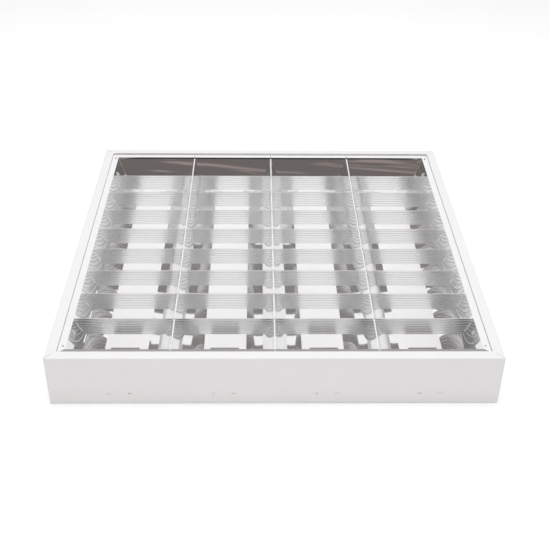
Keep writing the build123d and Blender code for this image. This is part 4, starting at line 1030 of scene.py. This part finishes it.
def make_floor():
    """Pale floor that stays white and keeps a faint shadow."""
    material, tree, shader, place = new_material("floor")
    shader.inputs["Roughness"].default_value = 1.0
    shader.inputs["Specular IOR Level"].default_value = 0.0
    shader.inputs["Base Color"].default_value = (0.75, 0.75, 0.75, 1)
    path = add(tree, "ShaderNodeLightPath").outputs
    seen = calc(tree, "MAXIMUM", path["Is Camera Ray"], path["Is Glossy Ray"])
    seen = calc(tree, "MAXIMUM", seen, path["Is Transmission Ray"])
    shader.inputs["Emission Color"].default_value = (1, 1, 1, 1)
    tree.links.new(calc(tree, "MULTIPLY", seen, floor_glow), shader.inputs["Emission Strength"])
    mesh = bpy.data.meshes.new("floor")
    corners = [(floor_reach * x, floor_reach * y, -floor_drop) for x, y in ((-1, -1), (1, -1), (1, 1), (-1, 1))]
    mesh.from_pydata(corners, [], [(0, 1, 2, 3)])
    mesh.materials.append(material)
    linked("floor", mesh)


def make_world():
    """Studio walls: white beyond the fixture, grey at the sides, dark brown behind the camera and low beyond."""
    world = bpy.data.worlds.new("studio")
    bpy.context.scene.world = world
    world.use_nodes = True
    tree = world.node_tree
    background = tree.nodes["Background"]
    ways = add(tree, "ShaderNodeTexCoord").outputs["Generated"]
    parts = add(tree, "ShaderNodeSeparateXYZ", {0: ways}).outputs

    def ramp(axis, start, stop):
        return put(tree, "ShaderNodeMapRange", {"Value": parts[axis], "From Min": start, "From Max": stop},
                   interpolation_type="SMOOTHSTEP")

    room = two_tones(tree, ramp("Z", 0.2, 0.4), (0.3, 0.3, 0.3), (0.12, 0.12, 0.12))
    room = mixed(tree, ramp("Y", 0.55, 0.75), room, (0.97, 0.97, 0.97))
    room = mixed(tree, ramp("Z", 0.72, 0.84), room, (0.55, 0.55, 0.55))
    low = calc(tree, "MULTIPLY", ramp("Y", 0.5, 0.8), ramp("Z", 0.33, 0.27))
    room = mixed(tree, calc(tree, "MULTIPLY", low, 0.7), room, studio_brown)
    tilted = put(tree, "ShaderNodeVectorRotate", {"Vector": ways, "Angle": -0.22}, rotation_type="Y_AXIS")
    stretched = put(tree, "ShaderNodeVectorMath", {0: tilted, 1: (9.0, 1.0, 1.3)}, operation="MULTIPLY")
    cloud = add(tree, "ShaderNodeTexNoise", {"Vector": stretched, "Scale": 1.6, "Detail": 2.0,
                                             "Distortion": 1.2}).outputs["Fac"]
    streak = put(tree, "ShaderNodeMapRange", {"Value": cloud, "From Min": 0.56, "From Max": 0.64})
    shade = two_tones(tree, streak, studio_brown, studio_streak)
    shade = mixed(tree, ramp("Z", 0.07, 0.03), shade, (0.02, 0.02, 0.02))
    behind = calc(tree, "MULTIPLY", ramp("Y", -0.15, -0.5), ramp("Z", 0.86, 0.74))
    backdrop = add(tree, "ShaderNodeMix", {"Factor": behind, 6: room, 7: shade}, data_type="RGBA")
    room = backdrop.outputs[2]
    seen = mixed(tree, add(tree, "ShaderNodeLightPath").outputs["Is Camera Ray"], room, (1, 1, 1))
    tree.links.new(seen, background.inputs["Color"])
    background.inputs["Strength"].default_value = 1.0


def area_light(name, place, target, size, power):
    """A soft box that faces a point; metal doesn't show it, and the louvre doesn't shade it."""
    data = bpy.data.lights.new(name, "AREA")
    data.shape = "RECTANGLE"
    data.size, data.size_y = size
    data.energy = power
    light = linked(name, data)
    light.location = place
    light.visible_glossy = False
    light.light_linking.blocker_collection = louvre_pieces
    for member in louvre_pieces.collection_objects:
        member.light_linking.link_state = "EXCLUDE"
    light.rotation_euler = (Vector(target) - Vector(place)).to_track_quat("-Z", "Y").to_euler()


make_floor()
make_world()
area_light("overhead_box", (0, 0, 2.4), (0, 0, 0), (2.4, 1.6), overhead_power)
area_light("front_fill", (0, -3.0, 0.5), (0, -0.3, 0.04), (2.0, 1.4), fill_power)
bpy.context.scene.view_settings.view_transform = "Standard"
